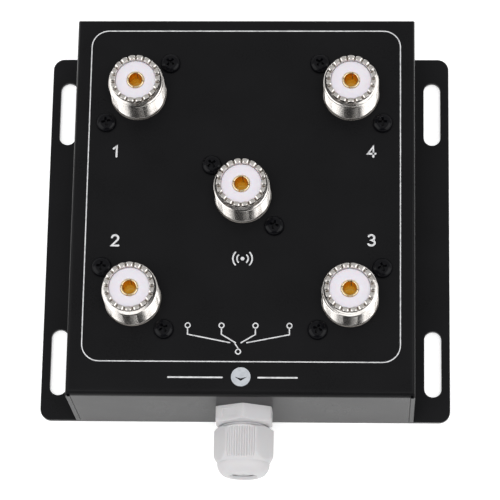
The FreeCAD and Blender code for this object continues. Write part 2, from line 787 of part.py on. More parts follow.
def make_shell(label, x, y):
    """The nickel shell: a threaded barrel on a square flange, with a toothed mouth."""
    body = new_body(f"{label}_socket_shell", (x, y, s.box_height))
    foot = -s.sheet_gauge - s.flange_gauge
    bore, barrel = s.socket_bore / 2, s.socket_thread / 2
    ring, neck = s.mouth_ring / 2, s.mouth_undercut / 2
    rise, end = s.socket_rise, s.socket_thread_rise
    ring_foot = end + s.mouth_undercut_width
    plain, step = s.socket_neck / 2, s.socket_neck_rise
    bevel = s.socket_cut
    revolve(
        body,
        [
            (bore, foot), (plain, foot), (plain, step), (barrel, step), (barrel, end - bevel),
            (barrel - bevel, end),
            (neck, end), (neck, ring_foot), (ring, ring_foot), (ring, rise), (bore, rise),
        ],
    )
    last_groove = end - 1.5 * bevel
    thread_rings(body, s.socket_thread, s.socket_cut, s.socket_pitch, s.socket_thread_start, last_groove)
    notch = new_sketch(body, "XY_Plane", rise)
    add_box(notch, bore - TINY, ring + TINY, -s.notch_width / 2, s.notch_width / 2)
    around(body, pocket(body, notch, s.notch_depth), s.tooth_count)
    half = s.flange_side / 2
    flange = new_sketch(body, "XY_Plane", foot)
    add_box(flange, -half, half, -half, half)
    add_circle(flange, 0, 0, s.socket_bore)
    for side in (-1, 1):
        for end_y in (-1, 1):
            add_circle(flange, side * HOLE_STEP, end_y * HOLE_STEP, PLAIN_HOLE)
    pad(body, flange, s.flange_gauge)
    corners = [(a * half.value + x.value, b * half.value + y.value) for a in (-1, 1) for b in (-1, 1)]
    fillet(body, edges_at(body.Shape, 2, corners), s.flange_corner)


def make_insulator(label, x, y):
    """The white ring between the shell and the contact."""
    body = new_body(f"{label}_socket_insulator", (x, y, s.box_height))
    back = -s.sheet_gauge - s.flange_gauge
    tail = back - s.insulator_tail
    inner = s.contact_outside / 2 + s.seat_gap
    outer = s.socket_bore / 2 - s.seat_gap
    rim = s.insulator_rim / 2
    top = s.socket_rise - s.insulator_drop
    revolve(body, [(inner, tail), (rim, tail), (rim, back), (outer, back), (outer, top), (inner, top)])


def make_contact(label, x, y):
    """The gold contact: a slit sleeve at the mouth and a solder pin through the board."""
    body = new_body(f"{label}_socket_contact", (x, y, s.box_height))
    behind = -s.sheet_gauge - s.flange_gauge - s.insulator_tail
    shoulder = behind - s.contact_shoulder_length
    tip = BOARD_UNDER - s.contact_pin_proud - s.box_height
    sleeve, bore, stem = s.contact_outside / 2, s.contact_bore / 2, s.contact_pin / 2
    top = s.socket_rise - s.contact_drop
    floor = top - s.contact_depth
    revolve(
        body,
        [
            (0, tip), (stem, tip), (stem, shoulder), (s.contact_shoulder / 2, shoulder),
            (s.contact_shoulder / 2, behind), (sleeve, behind), (sleeve, top), (bore, top),
            (bore, floor), (0, floor),
        ],
    )
    slit = new_sketch(body, "XY_Plane", top)
    add_box(slit, 0, sleeve + TINY, -s.contact_slit / 2, s.contact_slit / 2)
    around(body, pocket(body, slit, s.contact_slit_depth), 4)


def pan_screw(label, length):
    """A pan-head screw with a cross recess, its head standing on z = 0."""
    body = new_body(label, node=False)
    head, shank = s.pan_head / 2, s.screw_thread / 2
    crown_x = head - 0.4 * s.pan_head_height
    points = [
        (0, -length), (shank, -length), (shank, 0), (head, 0), (head, s.pan_head_edge),
        (crown_x / 2, s.pan_head_height), (0, s.pan_head_height),
    ]
    revolve(body, points, arcs={4: s.pan_head_crown})
    recess = new_sketch(body, "XY_Plane", s.pan_head_height)
    add_cross(recess, s.cross_length, s.cross_width)
    pocket(body, recess, s.cross_depth)
    return body


def make_socket_fasteners():
    """Screws through panel and flange into standoffs, and screws that hold the board."""
    screw = pan_screw("socket_screw_master", s.socket_screw_length)
    group("socket_screws", [(screw, [at(x, y, s.box_height) for x, y in screw_spots()])])
    standoff = new_body("standoff_master", node=False)
    outline = new_sketch(standoff, "XY_Plane")
    add_hexagon(outline, s.standoff_flats)
    add_circle(outline, 0, 0, s.screw_thread + 2 * s.thread_gap)
    pad(standoff, outline, s.standoff_length)
    group("socket_standoffs", [(standoff, [at(x, y, BOARD_TOP) for x, y in screw_spots()])])
    board_screw = pan_screw("board_screw_master", s.board_screw_length)
    group(
        "board_screws",
        [(board_screw, [at(x, y, BOARD_UNDER, flipped=True) for x, y in screw_spots()])],
    )


# Board and what hangs under it. A hanging piece is made upright and turned over, so its
# own z runs down from the board and its own y runs towards the gland.


def relay_pin_spots():
    """A relay's five pins in its own frame."""
    return [
        (s.post_x, -s.post_y), (-s.post_x, -s.post_y), (0, s.hinge_y - s.yoke_gauge / 2),
        (s.coil_pin_x, s.core_y), (-s.coil_pin_x, s.core_y),
    ]


def terminal_spots():
    """Where each terminal lies, left to right."""
    count = int(s.terminal_count.value)
    return [(step - (count - 1) / 2) * s.terminal_pitch for step in range(count)]


def make_board():
    """The circuit board with its holes."""
    body = new_body("circuit_board")
    outline = new_sketch(body, "XY_Plane", BOARD_UNDER)
    add_box(outline, -BOARD_SIDE, BOARD_SIDE, BOARD_FRONT, BOARD_BACK)
    pad(body, outline, s.board_gauge)
    large = new_sketch(body, "XY_Plane", BOARD_TOP)
    for x, y in screw_spots():
        add_circle(large, x, y, PLAIN_HOLE)
    for _, x, y, _ in SOCKETS:
        add_circle(large, x, y, s.contact_pin + 2 * s.board_hole_gap)
    pocket(body, large, s.board_gauge)
    small = new_sketch(body, "XY_Plane", BOARD_TOP)
    for _, x, y in RELAYS:
        for pin_x, pin_y in relay_pin_spots():
            add_circle(small, x + pin_x, y - pin_y, s.relay_pin + 4 * s.board_hole_gap)
    for x in terminal_spots():
        add_circle(small, x, s.terminal_y, s.terminal_pin + 2 * s.board_hole_gap)
    for x, y in DIODES:
        for side in (-1, 1):
            add_circle(small, x + side * s.diode_span / 2, y, s.diode_lead + 2 * s.board_hole_gap)
    pocket(body, small, s.board_gauge)


def make_relay_case(label, place):
    """A thin plastic case, open at the board."""
    body = new_body(f"{label}_case", place, FLIP)
    half_w, half_l = s.relay_width / 2, s.relay_length / 2
    outline = new_sketch(body, "XY_Plane")
    add_box(outline, -half_w, half_w, -half_l, half_l)
    pad(body, outline, RELAY_HEIGHT)
    spot = body.Placement.Base
    corners = [(spot.x + a * half_w.value, spot.y + b * half_l.value) for a in (-1, 1) for b in (-1, 1)]
    fillet(body, edges_at(body.Shape, 2, corners), s.relay_edge)
    hollow = new_sketch(body, "XY_Plane")
    in_w, in_l = half_w - s.relay_wall, half_l - s.relay_wall
    add_box(hollow, -in_w, in_w, -in_l, in_l)
    pocket(body, hollow, RELAY_HEIGHT - s.relay_wall, forward=True)


def make_relay_base(label, place):
    """The relay's floor, which its yoke and coil stand on."""
    body = new_body(f"{label}_base", place, FLIP)
    half_w = s.relay_width / 2 - s.relay_wall - s.relay_fit
    half_l = s.relay_length / 2 - s.relay_wall - s.relay_fit
    outline = new_sketch(body, "XY_Plane")
    add_box(outline, -half_w, half_w, -(s.post_y - s.post_gauge / 2 - s.relay_fit), half_l)
    hole = s.relay_pin + 2 * s.relay_fit
    for x, y in relay_pin_spots()[2:]:
        add_circle(outline, x, y, hole)
    pad(body, outline, s.relay_base)


def make_relay_yoke(label, place):
    """The iron frame with its core and pole face, and the common pin."""
    body = new_body(f"{label}_yoke", place, FLIP)
    half = s.yoke_width / 2
    base, gauge, hinge = s.relay_base, s.yoke_gauge, s.hinge_y
    elbow = new_sketch(body, "YZ_Plane")
    front = s.core_y - s.coil_rim / 2
    add_outline(
        elbow,
        [
            (front, base), (hinge, base), (hinge, POLE_HEIGHT), (hinge - gauge, POLE_HEIGHT),
            (hinge - gauge, base + gauge), (front, base + gauge),
        ],
    )
    pad(body, elbow, 2 * half, middle=True)
    core = new_sketch(body, "XY_Plane", base)
    add_circle(core, 0, s.core_y, s.core_size)
    pad(body, core, POLE_HEIGHT - base)
    face = new_sketch(body, "XY_Plane", POLE_HEIGHT - s.pole_cap)
    add_circle(face, 0, s.core_y, s.pole_face)
    pad(body, face, s.pole_cap)
    leg = new_sketch(body, "XY_Plane", base)
    add_circle(leg, 0, hinge - gauge / 2, s.relay_pin)
    pad(body, leg, base + s.board_gauge + s.pin_proud, back=True)


def make_relay_coil(label, place):
    """The former with its winding and two pins."""
    body = new_body(f"{label}_coil", place, FLIP)
    low = s.relay_base + s.yoke_gauge
    high = POLE_HEIGHT - s.pole_cap
    rings = [
        (low, s.coil_rim_gauge, s.coil_rim),
        (low + s.coil_rim_gauge, high - low - 2 * s.coil_rim_gauge, s.coil_wire),
        (high - s.coil_rim_gauge, s.coil_rim_gauge, s.coil_rim),
    ]
    for start, length, across in rings:
        ring = new_sketch(body, "XY_Plane", start)
        add_circle(ring, 0, s.core_y, across)
        add_circle(ring, 0, s.core_y, s.core_size + 2 * s.seat_gap)
        pad(body, ring, length)
    pins = new_sketch(body, "XY_Plane", low)
    for side in (-1, 1):
        add_circle(pins, side * s.coil_pin_x, s.core_y, s.relay_pin)
    pad(body, pins, low + s.board_gauge + s.pin_proud, back=True)


def make_relay_armature(label, place):
    """The hinged iron plate with its contact spring, standing open. Its frame is at the hinge."""
    x, y, z = place
    hinge = (x, y - s.hinge_y, z - POLE_HEIGHT - s.armature_gap)
    body = new_body(f"{label}_armature", hinge, ((1, 0, 0), 180 - s.armature_lift.value))
    plate = new_sketch(body, "XY_Plane")
    half = s.armature_width / 2
    add_box(plate, -half, half, -s.armature_reach, 0)
    pad(body, plate, s.armature_gauge)
    blade_top = s.armature_gauge + s.blade_gauge
    tail = s.blade_gap + s.blade_gauge
    strip = new_sketch(body, "YZ_Plane")
    add_outline(
        strip,
        [
            (-s.blade_reach, s.armature_gauge), (s.blade_gap, s.armature_gauge),
            (s.blade_gap, -s.blade_drop), (tail, -s.blade_drop), (tail, blade_top),
            (-s.blade_reach, blade_top),
        ],
    )
    pad(body, strip, s.blade_width, middle=True)
    for start in (s.armature_gauge - s.stud_height, blade_top):
        stud = new_sketch(body, "XY_Plane", start)
        add_circle(stud, 0, -s.stud_y, s.stud_size)
        pad(body, stud, s.stud_height)


def fixed_contact(label, side, arm_low, stud_up):
    """A strip that rises from the board and carries one stud over or under the spring."""
    body = new_body(label, node=False)
    half, gauge = s.post_width / 2, s.post_gauge
    front, back = -s.post_y - gauge / 2, -s.post_y + gauge / 2
    near, far = sorted((side * (s.post_x - half), side * (s.post_x + half)), key=lambda size: size.value)
    post = new_sketch(body, "XY_Plane", s.relay_fit)
    add_box(post, near, far, front, back)
    pad(body, post, arm_low - s.relay_fit)
    arm = new_sketch(body, "XY_Plane", arm_low)
    stud_y = s.hinge_y - s.stud_y
    reach = stud_y + s.stud_size / 2
    left, right = sorted((side * (s.post_x + half), -side * s.stud_size / 2), key=lambda size: size.value)
    add_box(arm, left, right, front, reach)
    pad(body, arm, gauge)
    stud_start = arm_low + gauge if stud_up else arm_low
    stud = new_sketch(body, "XY_Plane", stud_start)
    add_circle(stud, 0, stud_y, s.stud_size)
    pad(body, stud, s.stud_height, back=not stud_up)
    leg = new_sketch(body, "XY_Plane", s.relay_fit)
    add_box(
        leg, side * s.post_x - s.relay_pin / 2, side * s.post_x + s.relay_pin / 2, front, back
    )
    pad(body, leg, s.relay_fit + s.board_gauge + s.pin_proud, back=True)
    return body


def make_relays():
    """Four relays, each of six pieces, with the two fixed contacts in one node."""
    rest_stud = POLE_HEIGHT + s.armature_gap + s.armature_gauge - s.stud_height
    closed = fixed_contact(
        "working_contact_master", -1, rest_stud - s.armature_gap - s.stud_height - s.post_gauge, True
    )
    lift = math.radians(s.armature_lift.value)
    stud_top = s.armature_gauge + s.blade_gauge + s.stud_height
    raised = POLE_HEIGHT + s.armature_gap + stud_top * math.cos(lift)
    raised = raised + (s.stud_y + s.stud_size / 2) * math.sin(lift)
    resting = fixed_contact(
        "resting_contact_master", 1, raised + s.armature_gap + s.stud_height, False
    )
    for label, x, y in RELAYS:
        place = (x, y, BOARD_UNDER)
        make_relay_case(label, place)
        make_relay_base(label, place)
        make_relay_yoke(label, place)
        make_relay_coil(label, place)
        make_relay_armature(label, place)
        spot = at(x, y, BOARD_UNDER, flipped=True)
        group(f"{label}_contacts", [(closed, [spot]), (resting, [spot])])


def make_terminals():
    """The screw terminals for the control cable's wires."""
    place = (0, s.terminal_y, BOARD_UNDER)
    body = new_body("terminal_block", place, FLIP)
    half_w = s.terminal_count * s.terminal_pitch / 2
    half_d = s.terminal_depth / 2
    outline = new_sketch(body, "XY_Plane")
    add_box(outline, -half_w, half_w, -half_d, half_d)
    pad(body, outline, s.terminal_height)
    entries = new_sketch(body, "XZ_Plane", -half_d)
    entry_middle = s.terminal_height * 0.35
    for x in terminal_spots():
        half = s.terminal_entry / 2
        add_box(entries, x - half, x + half, entry_middle - half, entry_middle + half)
    pocket(body, entries, s.terminal_entry_depth, forward=True)
    shafts = new_sketch(body, "XY_Plane", s.terminal_height)
    for x in terminal_spots():
        add_circle(shafts, x, 0, s.terminal_screw + 2 * s.relay_fit)
    pocket(body, shafts, s.terminal_screw_sink + s.terminal_screw_length)
    pins = new_sketch(body, "XY_Plane")
    for x in terminal_spots():
        add_circle(pins, x, 0, s.terminal_pin)
    pad(body, pins, s.board_gauge + s.pin_proud, back=True)
    screw = new_body("terminal_screw_master", node=False)
    disc = new_sketch(screw, "XY_Plane")
    add_circle(disc, 0, 0, s.terminal_screw)
    pad(screw, disc, s.terminal_screw_length)
    slot = new_sketch(screw, "XY_Plane", s.terminal_screw_length)
    add_box(slot, -s.terminal_screw, s.terminal_screw, -s.terminal_screw / 10, s.terminal_screw / 10)
    pocket(screw, slot, s.terminal_screw / 4)
    low = BOARD_UNDER - s.terminal_height + s.terminal_screw_sink + s.terminal_screw_length
    group("terminal_screws", [(screw, [at(x, s.terminal_y, low, flipped=True) for x in terminal_spots()])])


def make_diodes():
    """One diode across each relay's coil, lying under the board."""
    body = new_body("coil_diode_master", node=False)
    axis = s.diode_sit + s.diode_size / 2
    barrel = new_sketch(body, "YZ_Plane")
    add_circle(barrel, 0, axis, s.diode_size)
    pad(body, barrel, s.diode_length, middle=True)
    wire = new_sketch(body, "XZ_Plane")
    far, near = s.diode_span / 2 + s.diode_lead / 2, s.diode_span / 2 - s.diode_lead / 2
    tip = -s.board_gauge - s.pin_proud
    low, high = axis - s.diode_lead / 2, axis + s.diode_lead / 2
    add_outline(
        wire,
        [
            (-far, tip), (-near, tip), (-near, low), (near, low), (near, tip), (far, tip),
            (far, high), (-far, high),
        ],
    )
    pad(body, wire, s.diode_lead, middle=True)
    group("coil_diodes", [(body, [at(x, y, BOARD_UNDER, flipped=True) for x, y in DIODES])])


# Cable gland: each piece is made about the gland's axis, with z = 0 at the wall's outer
# face and z running out of the box


def gland_place():
    return (s.gland_x, WALL_FACE_Y, s.gland_z)


def make_gland_body():
    """A hexagon outside the wall, a threaded tail through it and a threaded neck."""
    body = new_body("gland_body", gland_place(), OUT_OF_WALL)
    hexagon = new_sketch(body, "XY_Plane")
    add_hexagon(hexagon, s.gland_flats, 90)
    pad(body, hexagon, s.gland_hex_length)
    corner = s.gland_flats / math.sqrt(3)
    shoulder = s.gland_shoulder / 2
    turn_away(
        body,
        [
            (shoulder, s.gland_hex_length), (corner + TINY, s.gland_hex_length - s.gland_shoulder_length),
            (corner + TINY, s.gland_hex_length + TINY), (shoulder, s.gland_hex_length + TINY),
        ],
    )
    half = s.panel_width / 2
    panel = new_sketch(body, "YZ_Plane", s.gland_flats / 2)
    add_box(panel, -half, half, s.panel_start, s.panel_start + s.panel_length)
    around(body, pocket(body, panel, s.panel_depth), 3)
    tail, neck = s.gland_thread / 2, s.neck_size / 2
    bevel = s.gland_thread_cut
    revolve(
        body,
        [
            (0, -s.gland_thread_length), (tail - bevel, -s.gland_thread_length),
            (tail, -s.gland_thread_length + bevel), (tail, 0), (tail, s.gland_hex_length),
            (neck, s.gland_hex_length), (neck, s.neck_end - bevel), (neck - bevel, s.neck_end),
            (0, s.neck_end),
        ],
    )
    recess = s.gasket_size / 2 + s.gasket_gap
    turn_away(body, [(tail, -TINY), (recess, -TINY), (recess, s.gasket_gauge), (tail, s.gasket_gauge)])
    pitch, cut = s.gland_thread_pitch, s.gland_thread_cut
    thread_rings(body, s.neck_size, cut, pitch, s.gland_hex_length + pitch, s.neck_end - pitch / 2)
    thread_rings(
        body, s.gland_thread, cut, pitch, pitch - s.gland_thread_length, -s.sheet_gauge - pitch / 2
    )
    way, seat = s.cable_way / 2, s.clamp_seat / 2
    turn_away(
        body,
        [
            (0, -s.gland_thread_length - TINY), (way, -s.gland_thread_length - TINY),
            (way, s.clamp_seat_start), (seat, s.clamp_seat_start), (seat, s.neck_end + TINY),
            (0, s.neck_end + TINY),
        ],
    )


def make_gland_rings():
    """The gasket outside the wall and the lock nut inside it."""
    gasket = new_body("gland_gasket", gland_place(), OUT_OF_WALL)
    inner, outer = s.gland_thread / 2 + s.gasket_gap, s.gasket_size / 2
    revolve(gasket, [(inner, 0), (outer, 0), (outer, s.gasket_gauge), (inner, s.gasket_gauge)])
    nut = new_body("gland_lock_nut", gland_place(), OUT_OF_WALL)
    outline = new_sketch(nut, "XY_Plane", -s.sheet_gauge - s.lock_nut_length)
    add_hexagon(outline, s.lock_nut_flats)
    add_circle(outline, 0, 0, s.gland_thread + 2 * s.thread_gap)
    pad(nut, outline, s.lock_nut_length)


def make_clamp():
    """The slit claw and the rubber seal that grip the cable."""
    claw = new_body("gland_claw", gland_place(), OUT_OF_WALL)
    inner = s.seal_size / 2 + s.seat_gap
    flange_back = s.cap_wall_step - s.claw_flange_gauge
    revolve(
        claw,
        [
            (inner, s.claw_start), (s.claw_size / 2, s.claw_start), (s.claw_size / 2, flange_back),
            (s.claw_flange / 2, flange_back), (s.claw_flange / 2, s.cap_wall_step),
            (s.claw_finger_root / 2, s.cap_wall_step), (s.claw_finger_tip / 2, s.claw_end),
            (inner, s.claw_end),
        ],
    )
    slit = new_sketch(claw, "XY_Plane", s.claw_end)
    add_box(slit, inner - TINY, s.claw_flange / 2, -s.claw_slit / 2, s.claw_slit / 2)
    around(claw, pocket(claw, slit, s.claw_end - s.cap_wall_step), s.claw_count)
    seal = new_body("gland_seal", gland_place(), OUT_OF_WALL)
    bore, outer = s.seal_bore / 2, s.seal_size / 2
    revolve(seal, [(bore, s.seal_start), (outer, s.seal_start), (outer, s.seal_end), (bore, s.seal_end)])


def make_cap_nut():
    """The domed nut: a hexagon with three ribbed and three plain faces, then a dome."""
    body = new_body("gland_cap_nut", gland_place(), OUT_OF_WALL)
    spin = FreeCAD.Rotation(FreeCAD.Vector(0, 0, 1), s.cap_turn.value)
    body.Placement = body.Placement.multiply(FreeCAD.Placement(FreeCAD.Vector(), spin))
    corner = s.cap_flats / math.sqrt(3)
    hexagon = new_sketch(body, "XY_Plane", s.cap_start)
    add_hexagon(hexagon, s.cap_flats)
    pad(body, hexagon, s.cap_dome_start - s.cap_start)
    flat, face = s.cap_flats / 2, s.cap_face / 2
    turn_away(
        body,
        [
            (face, s.cap_start - TINY), (corner + TINY, s.cap_start - TINY),
            (corner + TINY, s.cap_start + s.cap_bevel), (corner, s.cap_start + s.cap_bevel),
            (face, s.cap_start),
        ],
    )
    dome = s.cap_dome / 2
    turn_away(
        body,
        [
            (corner, s.cap_flats_end), (corner + TINY, s.cap_flats_end),
            (corner + TINY, s.cap_dome_start + TINY), (dome, s.cap_dome_start + TINY),
            (dome, s.cap_dome_start),
        ],
    )
    groove = new_sketch(body, "XY_Plane", s.rib_start)
    middle = (s.rib_count - 1) / 2 * s.rib_pitch
    half = s.rib_width / 2
    add_box(groove, -middle - half, -middle + half, flat - s.rib_depth, flat + TINY)
    ribs = pocket(body, groove, s.rib_end - s.rib_start, forward=True)
    make_ribs(body, ribs)
    end = s.cap_end_size / 2
    revolve(
        body,
        [
            (0, s.cap_start), (face, s.cap_start), (face, s.cap_dome_start), (dome, s.cap_dome_start),
            (end, s.cap_end), (0, s.cap_end),
        ],
        arcs={3: s.cap_dome_radius},
    )
    thread = s.neck_size / 2 + s.thread_gap
    lip = s.cap_end - s.cap_mouth_lip
    mouth = s.cap_mouth / 2
    turn_away(
        body,
        [
            (0, s.cap_start - TINY), (thread, s.cap_start - TINY), (thread, s.cap_wall_step),
            (s.cap_taper_start / 2, s.cap_wall_step), (s.cap_taper_end / 2, lip), (mouth, lip),
            (mouth, s.cap_end + TINY), (0, s.cap_end + TINY),
        ],
    )


def make_ribs(body, groove):
    """Repeat one groove across a face, and that face on every other side."""
    across = doc.addObject("PartDesign::LinearPattern", "across")
    across.Direction = (origin_part(body, "X_Axis"), [""])
    bind(across, "Length", s.rib_pitch * (s.rib_count - 1))
    bind(across, "Occurrences", s.rib_count)
    sides = doc.addObject("PartDesign::PolarPattern", "sides")
    sides.Axis = (origin_part(body, "Z_Axis"), [""])
    sides.Angle = 360
    sides.Occurrences = 3
    both = body.newObject("PartDesign::MultiTransform", "ribs")
    both.Originals = [groove]
    both.Transformations = [across, sides]
    finish_feature(body, both)


# The whole switch


def make_switch():
    make_base_plate()
    make_cover()
    make_casing_fasteners()
    for label, x, y, _ in SOCKETS:
        make_shell(label, x, y)
        make_insulator(label, x, y)
        make_contact(label, x, y)
    make_socket_fasteners()
    make_board()
    make_relays()
    make_terminals()
    make_diodes()
    make_gland_body()
    make_gland_rings()
    make_clamp()
    make_cap_nut()


def check_model():
    """Stop if any object failed, or any node has no sound shape."""
    doc.recompute()
    failed = [thing.Name for thing in doc.Objects if {"Invalid", "Error"} & set(thing.State)]
    if failed:
        raise RuntimeError(f"these objects failed: {failed}")
    for node in nodes:
        if node.Shape.isNull() or not node.Shape.isValid():
            raise RuntimeError(f"{node.Label} has no sound shape")


def write_parts():
    """One STEP file for each node."""
    os.makedirs("parts", exist_ok=True)
    for node in nodes:
        node.Shape.exportStep(f"parts/{node.Label}.step")
        print(node.Label, len(node.Shape.Solids), round(node.Shape.Volume, 1))


make_switch()
check_model()
write_parts()
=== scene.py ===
# %% [markdown]
# # A coaxial antenna switch, dressed for a product photograph
#
# The solid model of the switch is already built and packed. This lesson loads it, keeps every solid where
# it is, and gives it what a solid modeller leaves out: fine threads, moulded edges, printing and finishes.
# Cells are read from top to bottom, and each one prints what it made.
#
# Lengths in the helpers are in millimetres, because the drawing was. Blender's own unit is the metre, so
# `MM` turns one into the other in the last step of each helper.

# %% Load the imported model
import json
import math

import bmesh
import bpy
import numpy as np
from mathutils import Matrix, Vector

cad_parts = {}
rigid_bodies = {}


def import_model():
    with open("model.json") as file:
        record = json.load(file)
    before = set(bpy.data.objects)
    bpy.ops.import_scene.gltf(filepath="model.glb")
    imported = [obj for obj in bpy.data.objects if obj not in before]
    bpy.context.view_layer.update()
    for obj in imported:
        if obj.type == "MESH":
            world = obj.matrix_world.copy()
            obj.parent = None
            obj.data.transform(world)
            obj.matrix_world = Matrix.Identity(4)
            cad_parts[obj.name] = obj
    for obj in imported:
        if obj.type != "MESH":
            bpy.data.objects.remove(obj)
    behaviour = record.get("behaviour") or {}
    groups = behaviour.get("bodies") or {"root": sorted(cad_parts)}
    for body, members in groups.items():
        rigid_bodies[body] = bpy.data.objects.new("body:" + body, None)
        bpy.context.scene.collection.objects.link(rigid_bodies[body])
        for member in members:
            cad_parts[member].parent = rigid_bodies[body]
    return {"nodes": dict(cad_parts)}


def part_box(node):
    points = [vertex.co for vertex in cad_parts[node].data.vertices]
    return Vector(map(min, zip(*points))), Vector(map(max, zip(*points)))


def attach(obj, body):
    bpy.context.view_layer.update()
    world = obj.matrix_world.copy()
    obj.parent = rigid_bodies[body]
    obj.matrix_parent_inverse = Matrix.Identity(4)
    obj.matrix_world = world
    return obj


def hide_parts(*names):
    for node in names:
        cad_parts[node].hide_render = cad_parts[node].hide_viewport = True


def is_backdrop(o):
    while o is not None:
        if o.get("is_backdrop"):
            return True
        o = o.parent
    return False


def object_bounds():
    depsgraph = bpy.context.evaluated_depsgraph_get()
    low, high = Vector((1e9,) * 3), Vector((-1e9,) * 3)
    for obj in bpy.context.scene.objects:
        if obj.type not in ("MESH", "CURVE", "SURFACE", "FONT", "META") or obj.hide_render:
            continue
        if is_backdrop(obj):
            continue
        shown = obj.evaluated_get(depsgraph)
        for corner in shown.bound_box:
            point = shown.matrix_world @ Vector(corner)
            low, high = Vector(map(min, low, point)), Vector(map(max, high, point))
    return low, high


MM = 0.001
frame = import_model()
cad_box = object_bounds()
nodes = frame["nodes"]

# %% [markdown]
# ## The camera
#
# The photograph was taken from above and a little in front of the switch with a long lens. The camera's
# place, turn and lens were found by fitting a pinhole camera to the corners of the box. We could aim a
# camera with a Track To constraint, but the fit gives the turn directly, so three angles are enough.

# %% Camera
lens = bpy.data.cameras.new("portrait_lens")
lens.sensor_width = 36.0
lens.lens = 189.46
lens.clip_start, lens.clip_end = 0.05, 20.0
camera = bpy.data.objects.new("portrait_camera", lens)
camera.location = (0.03526, -0.226455, 0.752122)
camera.rotation_euler = (0.288423, 0.041049, 0.016343)
bpy.context.scene.collection.objects.link(camera)
bpy.context.scene.camera = camera
print(f"camera {camera.location.length * 100:.0f} cm from the switch")

# %% [markdown]
# ## Turned skins
#
# Sockets, nuts and screws are all shapes round an axis. Blender's Screw modifier can turn a profile, but
# here the profile changes on the way round: teeth, flats, ribs and a helical thread. So we make a grid of
# points ourselves. Each row of the grid is one ring, given as a radius and a height. Either may be one
# number or a list with one number for every column, and that is where teeth and threads come from.

# %% A closed skin from rings
def ring_angles(columns):
    """The angle of every column, from 0 round to just under a full turn."""
    return np.arange(columns) * (2 * math.pi / columns)


def skin(name, rings, columns):
    """A closed mesh: every ring is joined to the next, and the last one to the first."""
    angles = ring_angles(columns)
    points = []
    for radius, height in rings:
        radius = np.broadcast_to(radius, columns)
        height = np.broadcast_to(height, columns)
        points.append(np.stack([radius * np.cos(angles), radius * np.sin(angles), height], axis=1))
    points = np.concatenate(points) * MM
    faces = []
    for row in range(len(rings)):
        here, there = row * columns, (row + 1) % len(rings) * columns
        for column in range(columns):
            beside = (column + 1) % columns
            faces.append((here + column, here + beside, there + beside, there + column))
    mesh = bpy.data.meshes.new(name)
    mesh.from_pydata(points.tolist(), [], faces)
    return mesh


def tidy_mesh(mesh, sharp_degrees=35):
    """Join doubled points, turn faces outwards and shade smoothly up to an angle."""
    work = bmesh.new()
    work.from_mesh(mesh)
    bmesh.ops.remove_doubles(work, verts=work.verts, dist=1e-7)
    bmesh.ops.dissolve_degenerate(work, dist=1e-7, edges=work.edges)
    bmesh.ops.recalc_face_normals(work, faces=work.faces)
    work.to_mesh(mesh)
    work.free()
    mesh.shade_smooth()
    mesh.set_sharp_from_angle(angle=math.radians(sharp_degrees))
    return mesh


# %% Joining meshes and putting pieces on the switch
def joined(name, meshes):
    """One mesh from several, each given as (mesh, matrix)."""
    work = bmesh.new()
    for mesh, matrix in meshes:
        start = len(work.verts)
        work.from_mesh(mesh)
        work.verts.ensure_lookup_table()
        bmesh.ops.transform(work, matrix=matrix, verts=work.verts[start:])
    made = bpy.data.meshes.new(name)
    work.to_mesh(made)
    work.free()
    return made


def piece(name, mesh, finish, body="switch", stands_for=(), at=Matrix()):
    """An object that rides on a body, with a finish, in place of some solids."""
    thing = bpy.data.objects.new(name, mesh)
    thing.matrix_world = at
    bpy.context.scene.collection.objects.link(thing)
    if finish.name not in mesh.materials:
        mesh.materials.append(finish)
    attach(thing, body)
    if stands_for:
        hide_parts(*stands_for)
    return thing


def shift(x, y, z):
    """A move by millimetres."""
    return Matrix.Translation((x * MM, y * MM, z * MM))


# %% [markdown]
# ## Shader maths as plain expressions
#
# A finish is a graph of nodes, and even `1 - mask * 0.3` takes two Math nodes and three links by hand. The
# small class below wraps a socket so that Python's own operators add those nodes. `Finish` holds one
# material, and its `node` method makes any other node: settings first, then the values or links.

# %% Wires that can do maths
class Wire:
    """An output socket that Python operators work on."""

    def __init__(self, graph, socket):
        self.graph = graph
        self.socket = socket

    def maths(self, operation, first, second):
        return self.graph.node("ShaderNodeMath", {"operation": operation}, {0: first, 1: second})

    def __add__(self, other):
        return self.maths("ADD", self, other)

    def __radd__(self, other):
        return self.maths("ADD", other, self)

    def __sub__(self, other):
        return self.maths("SUBTRACT", self, other)

    def __rsub__(self, other):
        return self.maths("SUBTRACT", other, self)

    def __mul__(self, other):
        return self.maths("MULTIPLY", self, other)

    def __rmul__(self, other):
        return self.maths("MULTIPLY", other, self)

    def clamped(self):
        """The value kept between 0 and 1."""
        return self.graph.node("ShaderNodeClamp", {}, {"Value": self})


# %% A graph of nodes
class Graph:
    """Helpers that add nodes to one node tree."""

    def __init__(self, tree):
        self.tree = tree

    def node(self, kind, settings, inputs, output=0):
        """A new node. Settings come first, because some of them change the sockets."""
        made = self.tree.nodes.new(kind)
        for setting, value in settings.items():
            if setting == "stops":
                self.set_stops(made.color_ramp, value)
            else:
                setattr(made, setting, value)
        for socket, value in inputs.items():
            self.join(made.inputs[socket], value)
        return Wire(self, made.outputs[output])

    def set_stops(self, ramp, stops):
        """Ramp stops as (position, value) pairs of greys."""
        while len(ramp.elements) < len(stops):
            ramp.elements.new(0.5)
        for element, (position, grey) in zip(ramp.elements, stops):
            element.position = position
            element.color = (grey, grey, grey, 1)

    def join(self, socket, value):
        """Link a wire to a socket, or set the socket to a value."""
        if isinstance(value, Wire):
            self.tree.links.new(value.socket, socket)
        else:
            socket.default_value = value

    def ramp(self, wire, *stops):
        """A grey ramp through (position, grey) stops."""
        return self.node("ShaderNodeValToRGB", {"stops": stops}, {"Fac": wire})

    def part(self, vector, axis):
        """One of a vector's three numbers."""
        return self.node("ShaderNodeSeparateXYZ", {}, {0: vector}, output="XYZ".index(axis))


